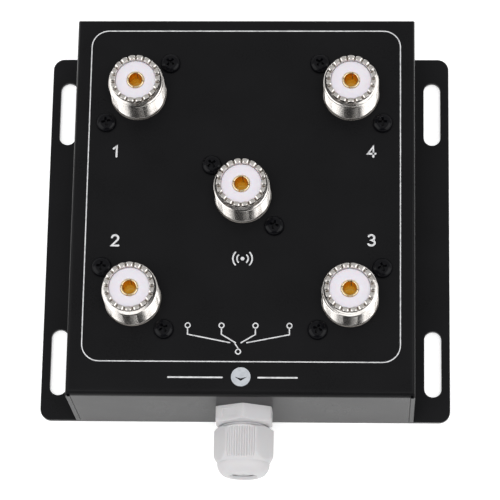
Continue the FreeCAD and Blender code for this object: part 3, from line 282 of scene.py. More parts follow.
# %% A finish under construction
class Finish(Graph):
    """One material, with helpers for what finishes need."""

    def __init__(self, name, **constants):
        self.material = bpy.data.materials.new(name)
        self.material.use_nodes = True
        super().__init__(self.material.node_tree)
        self.shader = self.tree.nodes["Principled BSDF"]
        for socket, value in constants.items():
            self.shader.inputs[socket.replace("_", " ")].default_value = value

    def feed(self, **sockets):
        """Feed the shader's sockets with wires."""
        for name, wire in sockets.items():
            self.join(self.shader.inputs[name.replace("_", " ")], wire)
        return self

    def place(self):
        """Where a point is on its own object, in metres."""
        return self.node("ShaderNodeTexCoord", {}, {}, output=3)

    def stretched(self, x, y, z):
        """That place, with each axis scaled."""
        return self.node("ShaderNodeMapping", {}, {"Vector": self.place(), "Scale": (x, y, z)})

    def from_axis(self):
        """How far a point is from its object's Z axis, in millimetres."""
        flat = self.stretched(1 / MM, 1 / MM, 0.0)
        return self.node("ShaderNodeVectorMath", {"operation": "LENGTH"}, {0: flat}, output=1)

    def noise(self, scale, detail=3.0, where=None, roughness=0.5):
        """Cloudy noise from 0 to 1. A scale of 1000 gives clouds of about a millimetre."""
        return self.node(
            "ShaderNodeTexNoise", {},
            {"Vector": where or self.place(), "Scale": scale, "Detail": detail, "Roughness": roughness},
        )

    def blend(self, mask, low, high):
        """A colour between two colours."""
        return self.node(
            "ShaderNodeMix", {"data_type": "RGBA"}, {0: mask, 6: low, 7: high}, output=2
        )

    def bump(self, height, strength, distance):
        """Small relief from a height wire. Distance is in millimetres."""
        return self.node(
            "ShaderNodeBump", {}, {"Strength": strength, "Distance": distance * MM, "Height": height}
        )

    def edges(self, width):
        """1 along worn edges, 0 on open faces: where a rounded normal leaves the true one."""
        rounded = self.node("ShaderNodeBevel", {"samples": 4}, {"Radius": width * MM})
        true = self.node("ShaderNodeNewGeometry", {}, {}, output=1)
        match = self.node(
            "ShaderNodeVectorMath", {"operation": "DOT_PRODUCT"}, {0: rounded, 1: true}, output=1
        )
        return self.ramp(match, (0.80, 1.0), (0.97, 0.0))


# %% [markdown]
# ## Finishes
#
# The box wears satin black powder coat. Powder melts into a skin with a faint orange-peel relief about a
# millimetre across, and it rubs a little paler along folded edges. A plain black would look like a hole in
# the picture, so colour, roughness and relief all vary, each by very little.

# %% Powder coat
def powder_coat(name, tone):
    coat = Finish(name, Specular_IOR_Level=0.07)
    clouds = coat.noise(60.0, 2.0)
    grain = coat.noise(2600.0, 2.0)
    peel = coat.noise(950.0, 1.5)
    rub = coat.edges(0.25) * coat.noise(700.0, 4.0)
    deep = (tone * 0.8, tone * 0.8, tone * 0.86, 1)
    pale = (tone * 1.2, tone * 1.2, tone * 1.3, 1)
    base = coat.blend(clouds, deep, pale)
    worn = coat.blend(rub * 0.3, base, (0.05, 0.05, 0.053, 1))
    coat.feed(
        Base_Color=worn,
        Roughness=(0.23 + clouds * 0.07 + grain * 0.04 - rub * 0.06),
        Normal=coat.bump(peel + grain * 0.4, 0.16, 0.03),
    )
    return coat.material


cover_black = powder_coat("satin_black_cover", 0.0075)
plate_black = powder_coat("satin_black_plate", 0.0095)
print("powder coat: cover and plate")

# %% [markdown]
# The socket shells are nickel plate on turned brass. Real plate is mirror-like only in patches: there are
# fine tool rings round the axis and handling haze. The rings come from noise that is squeezed along the
# axis, so it is nearly constant on the way round. Shade is painted at the foot of the crown's teeth: the
# nickel is painted darker and warmer between two heights up there, where the notches lie in shadow.

# %% Plated metals
def plated(name, pale, deep, low_rough, high_rough, rings=5200.0, relief=0.10, painted_shade=None):
    """A plated metal. Painted shade: two heights in mm, fully shaded below the first, clear above the
    second.
    """
    metal = Finish(name, Metallic=1.0)
    haze = metal.noise(240.0, 4.0)
    tool = metal.noise(1.0, 2.0, metal.stretched(260.0, 260.0, rings))
    spots = metal.ramp(metal.noise(900.0, 5.0), (0.58, 0.0), (0.72, 1.0))
    colour = metal.blend((haze * 0.7 + spots * 0.3).clamped(), pale, deep)
    # painted shade: the nickel darkens towards a warm brown at the foot of the crown, where the notches are
    # in shadow
    if painted_shade:
        dark, unshaded_above = painted_shade
        height = metal.part(metal.place(), "Z") * (1 / MM)
        in_hollow = ((unshaded_above - height) * (1 / (unshaded_above - dark))).clamped()
        on_crown = ((height - dark + 0.35) * 8).clamped()
        colour = metal.blend(in_hollow * on_crown * 0.45, colour, (0.34, 0.30, 0.27, 1))
    metal.feed(
        Base_Color=colour,
        Roughness=(low_rough + haze * (high_rough - low_rough) + spots * 0.06),
        Normal=metal.bump(tool, relief, 0.02),
    )
    return metal.material


# heights of the painted shade band at the foot of the crown's teeth, in millimetres
NOTCH_PAINTED_SHADE = (12.15, 12.80)
nickel = plated(
    "nickel_plate", (0.82, 0.79, 0.76, 1), (0.68, 0.64, 0.60, 1), 0.13, 0.28, painted_shade=NOTCH_PAINTED_SHADE,
)
zinc = plated("zinc_plate", (0.70, 0.71, 0.73, 1), (0.52, 0.53, 0.56, 1), 0.25, 0.45)
soft_iron = plated("plated_iron", (0.60, 0.60, 0.61, 1), (0.45, 0.44, 0.44, 1), 0.30, 0.50)
silver = plated("silver_contact", (0.86, 0.85, 0.82, 1), (0.66, 0.63, 0.58, 1), 0.22, 0.42)
print("plated metals: nickel, zinc, iron, silver")

# %% [markdown]
# The contacts are gold on brass. Light that enters a gold bore meets its wall again and again, and each
# time it loses blue, so the bore is a deep orange while the rim is pale. A render stops after a few of those
# meetings, so that orange is painted in: points nearer the axis than the rim get a deeper gold, a painted
# reflection.

# %% Gold contacts
def contact_gold():
    metal = Finish("gold_plate", Metallic=1.0)
    tool = metal.noise(1.0, 2.0, metal.stretched(260.0, 260.0, 3800.0))
    haze = metal.noise(700.0, 3.0)
    radius_in_cm = metal.from_axis() * 0.1
    # painted reflection: a deep orange inside the bore stands in for light bounced between its walls
    painted_reflection_mask = metal.ramp(radius_in_cm, (0.193, 1.0), (0.200, 0.0))
    rim = metal.blend(haze, (1.0, 0.86, 0.58, 1), (0.98, 0.76, 0.42, 1))
    metal.feed(
        Base_Color=metal.blend(painted_reflection_mask, rim, (0.92, 0.56, 0.08, 1)),
        Roughness=(0.16 + haze * 0.14),
        Normal=metal.bump(tool, 0.08, 0.02),
    )
    return metal.material


gold = contact_gold()

# %% [markdown]
# The screws are black oxide on steel: a thin oily skin over metal, so a dark base with a clear coat. The
# skin wears through at the rim of the head and of the recess, where a driver has touched it.

# %% Black screws
def black_oxide():
    screw = Finish("black_oxide", Coat_Roughness=0.05, Specular_IOR_Level=0.06)
    blotch = screw.noise(1100.0, 4.0)
    worn = screw.edges(0.12) * screw.ramp(blotch, (0.45, 0.0), (0.75, 1.0))
    screw.feed(
        Base_Color=screw.blend(worn * 0.35, (0.003, 0.003, 0.004, 1), (0.14, 0.135, 0.13, 1)),
        Metallic=(worn * 0.5),
        Roughness=(0.26 + blotch * 0.14),
        Coat_Weight=(0.2 - worn * 0.15),
        Normal=screw.bump(blotch, 0.12, 0.02),
    )
    return screw.material


screw_black = black_oxide()

# %% [markdown]
# The insulators are a white fluoropolymer, turned and slightly waxy, with a cool cast. Light enters it a
# little way, so a touch of subsurface scattering keeps its edges soft. The gland is nylon: warmer, greyer
# and a little mottled, because it draws in damp and flows unevenly when it is moulded.

# %% White and grey plastics
def waxy_white():
    wax = Finish("turned_white_plastic", Subsurface_Weight=0.10, Subsurface_Scale=0.0008)
    cloud = wax.noise(500.0, 3.0)
    tool = wax.noise(1.0, 2.0, wax.stretched(300.0, 300.0, 4000.0))
    wax.feed(
        Base_Color=wax.blend(cloud, (0.64, 0.61, 0.66, 1), (0.70, 0.67, 0.72, 1)),
        Roughness=(0.34 + cloud * 0.14),
        Normal=wax.bump(tool, 0.08, 0.02),
    )
    return wax.material


def moulded_nylon(name, pale, deep):
    nylon = Finish(name, Subsurface_Weight=0.06, Subsurface_Scale=0.001)
    mottle = nylon.noise(160.0, 4.0)
    pores = nylon.noise(2400.0, 2.0)
    nylon.feed(
        Base_Color=nylon.blend(mottle, pale, deep),
        Roughness=(0.40 + mottle * 0.12 + pores * 0.06),
        Normal=nylon.bump(pores + mottle * 0.5, 0.10, 0.03),
    )
    return nylon.material


white_plastic = waxy_white()
gland_grey = moulded_nylon("grey_nylon", (0.58, 0.57, 0.58, 1), (0.535, 0.525, 0.535, 1))
claw_white = moulded_nylon("natural_nylon", (0.74, 0.73, 0.70, 1), (0.66, 0.65, 0.62, 1))
print("plastics: insulator, gland, claw")

# %% [markdown]
# Rubber, relay cases, the board and the rest are inside the box, but they are dressed too: a reader may
# take the cover off. Each finish shows its own making, such as rows of wire on a coil and copper paths
# under green lacquer.

# %% Rubber and dark mouldings
def matt_moulding(name, tone, rough, relief=0.12, scale=1300.0):
    stuff = Finish(name, Specular_IOR_Level=0.4)
    grain = stuff.noise(scale, 3.0)
    bloom = stuff.noise(90.0, 3.0)
    darker = tuple(value * 0.75 for value in tone)
    stuff.feed(
        Base_Color=stuff.blend((bloom * 0.8 + grain * 0.2).clamped(), (*darker, 1), (*tone, 1)),
        Roughness=(rough + bloom * 0.12 - grain * 0.06),
        Normal=stuff.bump(grain, relief, 0.04),
    )
    return stuff.material


rubber = matt_moulding("black_rubber", (0.030, 0.030, 0.031), 0.62, 0.25, 1800.0)
seal_grey = matt_moulding("grey_rubber", (0.66, 0.66, 0.67), 0.58, 0.22, 1500.0)
relay_black = matt_moulding("relay_moulding", (0.022, 0.022, 0.024), 0.42)
terminal_green = matt_moulding("terminal_moulding", (0.045, 0.30, 0.13), 0.38)
print("mouldings: rubber, relay, terminals")

# %% Lacquered board, wound wire and diodes
def lacquered_board():
    board = Finish("lacquered_board", Coat_Roughness=0.15)
    paths = board.node(
        "ShaderNodeTexBrick", {"offset": 0.37},
        {"Vector": board.place(), "Scale": 190.0, "Mortar Size": 0.035, "Mortar Smooth": 0.3,
         "Color1": (0, 0, 0, 1), "Color2": (0, 0, 0, 1), "Mortar": (1, 1, 1, 1)},
    )
    weave = board.noise(900.0, 3.0)
    green = board.blend(weave, (0.010, 0.085, 0.035, 1), (0.014, 0.115, 0.048, 1))
    board.feed(
        Base_Color=board.blend(paths, green, (0.05, 0.24, 0.10, 1)),
        Roughness=(0.34 + weave * 0.16),
        Coat_Weight=(0.4 + weave * 0.2),
        Normal=board.bump(paths + weave * 0.1, 0.3, 0.04),
    )
    return board.material


def wound_wire():
    wire = Finish("enamelled_winding")
    rows = wire.node(
        "ShaderNodeTexWave", {"wave_type": "BANDS", "bands_direction": "Z", "wave_profile": "SIN"},
        {"Vector": wire.place(), "Scale": 1400.0, "Distortion": 0.4, "Detail": 1.0},
    )
    wire.feed(
        Base_Color=wire.blend(rows, (0.10, 0.022, 0.006, 1), (0.56, 0.20, 0.07, 1)),
        Metallic=(0.3 + rows * 0.5),
        Roughness=(0.45 - rows * 0.18),
        Normal=wire.bump(rows, 0.5, 0.06),
    )
    return wire.material


board_green = lacquered_board()
winding = wound_wire()
diode_black = matt_moulding("diode_moulding", (0.018, 0.018, 0.018), 0.30, 0.05)
print("board, winding and diodes")

# %% [markdown]
# The printing is thick white screen ink. Under a glass its edges are slightly ragged and its surface is
# thinner in places, so a faint grey comes through.

# %% Screen ink
def screen_ink(name, thin_tone, full_tone):
    ink = Finish(name, Specular_IOR_Level=0.3)
    mesh_marks = ink.noise(2300.0, 3.0)
    thin = ink.ramp(ink.noise(800.0, 4.0), (0.30, 0.0), (0.55, 1.0))
    ink.feed(
        Base_Color=ink.blend(thin, (*thin_tone, 1), (*full_tone, 1)),
        Roughness=(0.46 + mesh_marks * 0.2),
        Normal=ink.bump(mesh_marks, 0.2, 0.01),
    )
    return ink.material


ink_white = screen_ink("white_screen_ink", (0.42, 0.42, 0.43), (0.64, 0.64, 0.65))
ink_pale = screen_ink("pale_screen_ink", (0.38, 0.40, 0.43), (0.45, 0.47, 0.50))

# %% [markdown]
# ## Dressing the solids that already have the right shape
#
# Most solids only need a finish. The sheet parts also need their cut edges broken: a Bevel modifier does
# that without touching the solid's own mesh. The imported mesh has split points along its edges, so a Weld
# modifier joins them first.

# %% Finishes for solids
def dress(finish, *names):
    """Give solids a finish."""
    for name in names:
        materials = nodes[name].data.materials
        materials.clear()
        materials.append(finish)


def soften(width, *names, segments=2, angle=50):
    """Break the sharp edges of solids by some millimetres."""
    for name in names:
        weld = nodes[name].modifiers.new("join_points", "WELD")
        weld.merge_threshold = 0.002 * MM
        bevel = nodes[name].modifiers.new("break_edges", "BEVEL")
        bevel.width = width * MM
        bevel.segments = segments
        bevel.limit_method = "ANGLE"
        bevel.angle_limit = math.radians(angle)
        bevel.harden_normals = True
        bevel.use_clamp_overlap = True


SOCKETS = ["antenna_1", "antenna_2", "antenna_3", "antenna_4", "transmitter"]
RELAYS = ["relay_1", "relay_2", "relay_3", "relay_4"]
dress(cover_black, "cover")
dress(plate_black, "base_plate")
dress(zinc, "base_screws", "clinch_nuts", "board_screws", "terminal_screws")
dress(nickel, "socket_standoffs")
dress(board_green, "circuit_board")
dress(terminal_green, "terminal_block")
dress(diode_black, "coil_diodes")
dress(rubber, "gland_gasket")
dress(gland_grey, "gland_lock_nut")
dress(claw_white, "gland_claw")
for relay in RELAYS:
    dress(relay_black, f"{relay}_case", f"{relay}_base")
    dress(soft_iron, f"{relay}_yoke", f"{relay}_armature")
    dress(winding, f"{relay}_coil")
    dress(silver, f"{relay}_contacts")
soften(0.18, "cover", "base_plate")
print("solids dressed")

# %% [markdown]
# ## The sockets
#
# A radio socket's shell is one turned piece: a thread of 24 turns to the inch, an undercut, and a ring of
# small teeth that locks the plug. In the solid model the thread is a stack of rings. Here it is a real
# helix: the depth of the groove at each point depends on its height less its angle times the pitch. The
# teeth are round-topped with narrow notches, so twelve columns describe one tooth, from 0 to 1 deep.

# %% One socket shell
SCREW_SPREAD = 9.1
TEETH = 18
TOOTH_COLUMNS = [0, 0.01, 0.04, 0.10, 0.22, 0.48, 1, 0.48, 0.22, 0.10, 0.04, 0.01]
SHELL_COLUMNS = TEETH * len(TOOTH_COLUMNS)


def groove_depth(height, angles, pitch):
    """0 on a crest and 1 in a root, for a 60 degree thread with small flats."""
    turns = height / pitch - angles / (2 * math.pi)
    phase = np.abs((turns % 1.0) * 2 - 1)
    return np.clip(phase * 1.25 - 0.12, 0, 1)


def barrel_rings():
    """The threaded barrel with its long lead-in, from the panel up to the undercut."""
    crest, depth, pitch = 7.94, 0.55, 1.058
    start, end = 0.3, 11.5
    angles = ring_angles(SHELL_COLUMNS)
    rings = []
    for height in np.linspace(start, end, 128):
        run_in = min((height - start) / 0.8, 1.0)
        radius = crest - depth * run_in * groove_depth(height, angles, pitch)
        lead_in = 7.05 + (11.5 - height) * 0.52
        rings.append((np.minimum(radius, lead_in), height))
    return rings


def shell_rings():
    """The whole shell. A notch is lower and further in than the teeth beside it."""
    notch = np.tile(TOOTH_COLUMNS, TEETH).astype(float)
    top = 13.0 - 0.95 * notch
    outer = 7.14 - 0.34 * notch
    return [
        (5.8, -3.2), (7.5, -3.2), (7.7, -3.0), (7.7, 0.3),
        *barrel_rings(),
        (6.75, 11.52), (6.62, 11.6), (6.62, 11.86), (6.7, 11.94), (outer - 0.08, 11.95),
        (outer, 12.03), (outer, top - 0.2), (outer - 0.07, top - 0.06), (outer - 0.22, top),
        (6.08, top), (5.9, top - 0.07), (5.82, top - 0.22), (5.8, 11.9),
    ]


# %% The flange behind the panel
def rounded_square(half, corner, steps=6):
    """Points round a square with round corners."""
    points = []
    for turn in range(4):
        for step in range(steps + 1):
            angle = math.radians(90 * turn + 90 * step / steps)
            sign_x = 1 if turn in (0, 3) else -1
            sign_y = 1 if turn in (0, 1) else -1
            points.append(
                (sign_x * (half - corner) + corner * math.cos(angle),
                 sign_y * (half - corner) + corner * math.sin(angle))
            )
    return points


def circle_points(x, y, radius, steps=32):
    return [
        (x + radius * math.cos(2 * math.pi * k / steps), y + radius * math.sin(2 * math.pi * k / steps))
        for k in range(steps)
    ]


def plate_with_holes(name, loops, low, high):
    """A flat plate between two heights, from one outer loop and its holes."""
    work = bmesh.new()
    edges = []
    for loop in loops:
        points = [work.verts.new((x * MM, y * MM, low * MM)) for x, y in loop]
        edges += [work.edges.new((a, b)) for a, b in zip(points, points[1:] + points[:1])]
    bmesh.ops.triangle_fill(work, use_beauty=True, edges=edges)
    raised = bmesh.ops.extrude_face_region(work, geom=list(work.faces))
    tops = [item for item in raised["geom"] if isinstance(item, bmesh.types.BMVert)]
    bmesh.ops.translate(work, verts=tops, vec=(0, 0, (high - low) * MM))
    mesh = bpy.data.meshes.new(name)
    work.to_mesh(mesh)
    work.free()
    return mesh


def flange_mesh():
    sides = (-SCREW_SPREAD, SCREW_SPREAD)
    holes = [circle_points(x, y, 1.7) for x in sides for y in sides]
    loops = [rounded_square(12.7, 2.0), circle_points(0, 0, 7.65, 64), *holes]
    return plate_with_holes("flange", loops, -3.2, -1.2)


# %% The white insulator
def insulator_rings():
    """A turned ring round the contact, with a shoulder behind the flange and softened edges."""
    return [
        (2.5, -5.2), (6.5, -5.2), (6.6, -5.1), (6.6, -3.25), (5.75, -3.2), (5.75, 11.38), (5.70, 11.5),
        (5.55, 11.58), (5.2, 11.6), (2.95, 11.6), (2.7, 11.58), (2.56, 11.5), (2.5, 11.35),
    ]


# %% [markdown]
# The contact is a sleeve whose mouth is slit into four sprung fingers, so it grips a plug's pin. Each finger
# is one outline swept through most of a quarter turn, and the slits are what is left between them.

# %% The gold contact
def arc(x, y, radius_x, radius_y, first, last, steps=14):
    """Points along part of an ellipse, in degrees."""
    return [
        (x + radius_x * math.cos(math.radians(first + (last - first) * k / steps)),
         y + radius_y * math.sin(math.radians(first + (last - first) * k / steps)))
        for k in range(steps + 1)
    ]


FINGERS, FINGER_TURN, SLIT = 4, -12, 0.24
FINGER_ROOT, CONTACT_TOP, CONTACT_RADIUS = 6.9, 11.9, 2.45


def swept_part(name, outline, first, last, steps=22):
    """A closed solid: an outline of radius and height, swept through part of a turn in degrees."""
    points, faces = [], []
    count = len(outline)
    for step in range(steps + 1):
        angle = math.radians(first + (last - first) * step / steps)
        points += [(r * math.cos(angle) * MM, r * math.sin(angle) * MM, h * MM) for r, h in outline]
    for step in range(steps):
        for here in range(count):
            beside = (here + 1) % count
            row, above = step * count, (step + 1) * count
            faces.append((row + here, row + beside, above + beside, above + here))
    faces += [tuple(range(count)), tuple(range(steps * count, (steps + 1) * count))[::-1]]
    mesh = bpy.data.meshes.new(name)
    mesh.from_pydata(points, [], faces)
    return mesh


def contact_mesh():
    """A pin and sleeve, slit at the mouth into sprung fingers."""
    stem = [
        (0, -16.0), (0.8, -16.0), (1.0, -15.8), (1.0, -6.0), (3.15, -6.0), (3.2, -5.95), (3.2, -5.2),
        (CONTACT_RADIUS, -5.2), (CONTACT_RADIUS, FINGER_ROOT), (2.0, FINGER_ROOT), (2.0, 2.9), (0, 2.9),
    ]
    rounding = 0.27
    lip = [(1.91, FINGER_ROOT), (CONTACT_RADIUS, FINGER_ROOT)]
    lip += arc(2.18, CONTACT_TOP - rounding, rounding, rounding, 0, 180, 8)
    half_slit = math.degrees(SLIT / 2 / CONTACT_RADIUS)
    share = 360 / FINGERS
    parts = [(skin("stem", stem, 88), Matrix())]
    for finger in range(FINGERS):
        first = share * finger + FINGER_TURN
        sweep = swept_part("finger", lip, first + half_slit, first + share - half_slit)
        parts.append((sweep, Matrix()))
    return tidy_mesh(joined("contact", parts), 40)


# %% Five sockets from three meshes
shell = joined(
    "socket_shell",
    [(tidy_mesh(skin("barrel", shell_rings(), SHELL_COLUMNS), 28), Matrix()), (flange_mesh(), Matrix())],
)
tidy_mesh(shell, 28)
insulator = tidy_mesh(skin("insulator", insulator_rings(), 96), 40)
contact = contact_mesh()
PANEL_TOP = 34.0
SPOTS = {}
for turn, socket in enumerate(SOCKETS):
    low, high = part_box(f"{socket}_socket_contact")
    x, y = [(a + b) / 2 / MM for a, b in zip(low[:2], high[:2])]
    SPOTS[socket] = (x, y)
    stand = shift(x, y, PANEL_TOP)
    quarter = Matrix.Rotation(math.radians(90 * turn), 4, "Z")
    piece(
        f"{socket}_threaded_shell", shell, nickel, stands_for=[f"{socket}_socket_shell"],
        at=stand @ quarter,
    )
    piece(
        f"{socket}_turned_insulator", insulator, white_plastic,
        stands_for=[f"{socket}_socket_insulator"], at=stand,
    )
    piece(
        f"{socket}_sprung_contact", contact, gold, stands_for=[f"{socket}_socket_contact"],
        at=stand @ quarter,
    )
print(f"socket shell: {len(shell.vertices)} points; contact: {len(contact.vertices)}; used five times")

# %% [markdown]
# ## Screws
#
# A pan head is a low dome with a straight rim. Its recess is a tapered cross. A dome is easy to turn, but
# a cross isn't round, so it is cut with a Boolean modifier and the result is kept as a plain mesh. One
# screw is made and copied into the ten places.

# %% One pan-head screw
def pan_head_rings():
    """From the axis under the shank, round the head, to the axis on top."""
    rings = [
        (0, -8.0), (1.2, -8.0), (1.5, -7.7), (1.5, -0.12), (1.62, 0), (2.78, 0), (2.85, 0.07), (2.85, 0.62),
    ]
    for step in range(1, 13):
        angle = math.radians(90 * step / 12)
        rings.append((2.85 * math.cos(angle) ** 0.72, 0.62 + 1.36 * math.sin(angle)))
    return rings[:-1] + [(0, 1.98)]


def cross_cutter():
    """A cross that narrows on the way down."""
    work = bmesh.new()
    for turned in (False, True):
        corners = []
        for height, half_long, half_wide in ((2.4, 1.62, 0.42), (0.75, 0.75, 0.24)):
            for a, b in ((-1, -1), (1, -1), (1, 1), (-1, 1)):
                x, y = a * half_long, b * half_wide
                if turned:
                    x, y = -y, x
                corners.append(work.verts.new((x * MM, y * MM, height * MM)))
        top, low = corners[:4], corners[4:]
        work.faces.new(top)
        work.faces.new(low[::-1])
        for k in range(4):
            n = (k + 1) % 4
            work.faces.new((top[k], low[k], low[n], top[n]))
    mesh = bpy.data.meshes.new("cross")
    bmesh.ops.recalc_face_normals(work, faces=work.faces)
    work.to_mesh(mesh)
    work.free()
    return mesh


def cut_away(mesh, cutter):
    """The mesh left when a cutter is taken from it."""
    block = bpy.data.objects.new("block", mesh)
    tool = bpy.data.objects.new("tool", cutter)
    for thing in (block, tool):
        bpy.context.scene.collection.objects.link(thing)
    cut = block.modifiers.new("cut", "BOOLEAN")
    cut.operation = "DIFFERENCE"
    cut.solver = "EXACT"
    cut.use_self = True
    cut.object = tool
    result = bpy.data.meshes.new_from_object(block.evaluated_get(bpy.context.evaluated_depsgraph_get()))
    bpy.data.objects.remove(block)
    bpy.data.objects.remove(tool)
    return result


# %% Ten socket screws
def screw_places():
    """Two screws for each socket, on one diagonal of its flange."""
    slants = {"antenna_1": 1, "antenna_2": -1, "antenna_3": 1, "antenna_4": -1, "transmitter": -1}
    for socket, (x, y) in SPOTS.items():
        for side in (-1, 1):
            yield x + side * SCREW_SPREAD, y + side * slants[socket] * SCREW_SPREAD


head = tidy_mesh(skin("pan_head", pan_head_rings(), 48), 40)
screw = cut_away(head, cross_cutter())
copies = []
for number, (x, y) in enumerate(screw_places()):
    turned = Matrix.Rotation(math.radians(37 * number + 12), 4, "Z")
    copies.append((screw, shift(x, y, PANEL_TOP) @ turned))
socket_screws = tidy_mesh(joined("pan_head_screws", copies), 40)
piece("pan_head_screws", socket_screws, screw_black, stands_for=["socket_screws"])
print(f"screws: {len(copies)} copies of {len(screw.vertices)} points")

# %% [markdown]
# ## The cable gland
#
# The gland is moulded: a hexagonal body against the wall, a threaded neck, and a domed cap nut with ribs
# on every other flat. Moulded corners are never sharp, so each ring's radius is the softer of two limits,
# the hexagon and the cone or dome that cuts its corners. The pieces are made round the Z axis and then
# laid along the gland's own axis, out of the front wall.

# %% Hexagons with soft corners
GLAND_COLUMNS = 720


def soft_lower(a, b, softness):
    """The lower of two numbers, rounded where they cross."""
    blend = np.clip(0.5 + 0.5 * (b - a) / softness, 0, 1)
    return b * (1 - blend) + a * blend - softness * blend * (1 - blend)


def flat_lean(angles, first):
    """Angle from the nearest flat's middle, for a hexagon with a flat facing first degrees."""
    sixth = math.pi / 3
    return (angles - math.radians(first) + sixth / 2) % sixth - sixth / 2


def hexagon(angles, flat, first, corner_loss):
    """Radius of a hexagon with rounded corners."""
    plain = flat / np.cos(flat_lean(angles, first))
    corner = flat / math.cos(math.pi / 6)
    return soft_lower(plain, corner - corner_loss, 0.35)


def gland_place(turn=0.0):
    """From an upright piece to the gland's axis, turned round it by some degrees."""
    lying = Matrix.Rotation(math.radians(90), 4, "X")
    return shift(0.6, -56.25, 16.0) @ lying @ Matrix.Rotation(math.radians(turn), 4, "Z")


# %% The cap nut
CAP_FLAT = 7.65


def rib_grooves(angles, first):
    """0 on a plain flat, and 0 to 1 across the grooves of the ribbed flats."""
    lean = flat_lean(angles, first)
    across = CAP_FLAT * np.tan(lean)
    nearest = np.round((angles - math.radians(first)) / (math.pi / 3)).astype(int)
    ribbed = (nearest % 2 == 0) & (np.abs(across) < 4.05)
    wave = 0.5 - 0.5 * np.cos(2 * math.pi * across / 0.74)
    return np.where(ribbed, wave ** 2.5, 0.0)


def cap_rings():
    """The nut from its open end, over its ribbed hexagon and dome, to its inside."""
    angles = ring_angles(GLAND_COLUMNS)
    hexed = hexagon(angles, CAP_FLAT, 90, 0.2)
    grooves = rib_grooves(angles, 90)
    rings = [(6.75, 12.9), (6.75, 5.75), (6.84, 5.56), (6.94, 5.46), (7.04, 5.45), (7.1, 5.47)]
    for height in (
        5.5, 5.56, 5.64, 5.72, 5.8, 5.9, 6.0, 6.12, 6.26, 6.4, 6.6, 6.8, 7.2, 7.8, 8.6, 10, 11, 12, 13, 13.6,
        14.0, 14.4, 14.7, 14.9, 15.1, 15.3,
    ):
        rear = 7.1 + (height - 5.45) * 1.75
        front = 8.83 - max(height - 13.5, 0) * 0.62
        radius = soft_lower(soft_lower(hexed, rear, 0.12), front, 0.35)
        window = np.clip((height - 6.1) / 0.4, 0, 1) * np.clip((15.1 - height) / 0.35, 0, 1)
        rings.append((radius - 0.34 * window * grooves, height))
    for height in (15.5, 15.65, 15.78):
        limit = 8.83 - (height - 13.5) * 0.62
        rings.append((np.minimum(soft_lower(hexed, limit, 0.3), 7.62), height))
    for step in range(1, 25):
        angle = math.radians(90 * step / 24)
        rings.append((4.2 + 3.32 * math.cos(angle) ** 0.95, 15.84 + 3.7 * math.sin(angle)))
    rings += [
        (4.08, 19.52), (3.92, 19.42), (3.76, 19.22), (3.64, 18.98), (3.56, 18.78), (3.52, 18.66),
        (4.3, 18.55),
        (6.15, 13.05),
    ]
    return rings


cap = tidy_mesh(skin("cap_nut", cap_rings(), GLAND_COLUMNS), 50)
piece(
    "ribbed_cap_nut", cap, gland_grey, body="cap_nut", stands_for=["gland_cap_nut"],
    at=gland_place(4.0),
)
print(f"cap nut: {len(cap.vertices)} points")

# %% [markdown]
# A soft seal sits inside the nut's mouth. Its front is a thin domed web, split into petals, and a cable is
# pushed through it. No cable is in place here, so the web is closed and nearly fills the mouth.

# %% The rubber seal
SEAL_COLUMNS = 96


def seal_rings():
    """A rubber tube whose front is closed by a thin web, split into petals for a cable to push through."""
    split = np.where(np.arange(SEAL_COLUMNS) % 16 == 0, 0.22, 0.0)
    return [
        (0.45, 18.98 - split), (1.3, 18.92 - split), (2.3, 18.76 - split), (3.0, 18.5), (3.3, 18.4),
        (4.0, 18.4), (4.1, 18.3), (4.1, 8.1), (4.0, 8.0), (3.35, 8.0), (3.25, 8.1), (3.25, 17.9),
        (2.9, 18.1), (1.3, 18.35), (0.45, 18.4),
    ]


seal = tidy_mesh(skin("seal", seal_rings(), SEAL_COLUMNS), 40)
piece(
    "split_web_seal", seal, seal_grey, body="cable_clamp", stands_for=["gland_seal"],
    at=gland_place(),
)

# %% [markdown]
# The body's hexagon stands on the wall with a corner rounded off by a short cone. Every other flat has a
# shallow sunk field, and both of its threads are helices that fade in and out at their ends.

# %% The gland body
def helix(height, angles, crest, depth, pitch, start, end):
    """Radius of a thread that fades in and out at its ends."""
    fade = min(max((height - start) / 0.8, 0), 1) * min(max((end - height) / 0.8, 0), 1)
    return crest - depth * fade * groove_depth(height, angles, pitch)


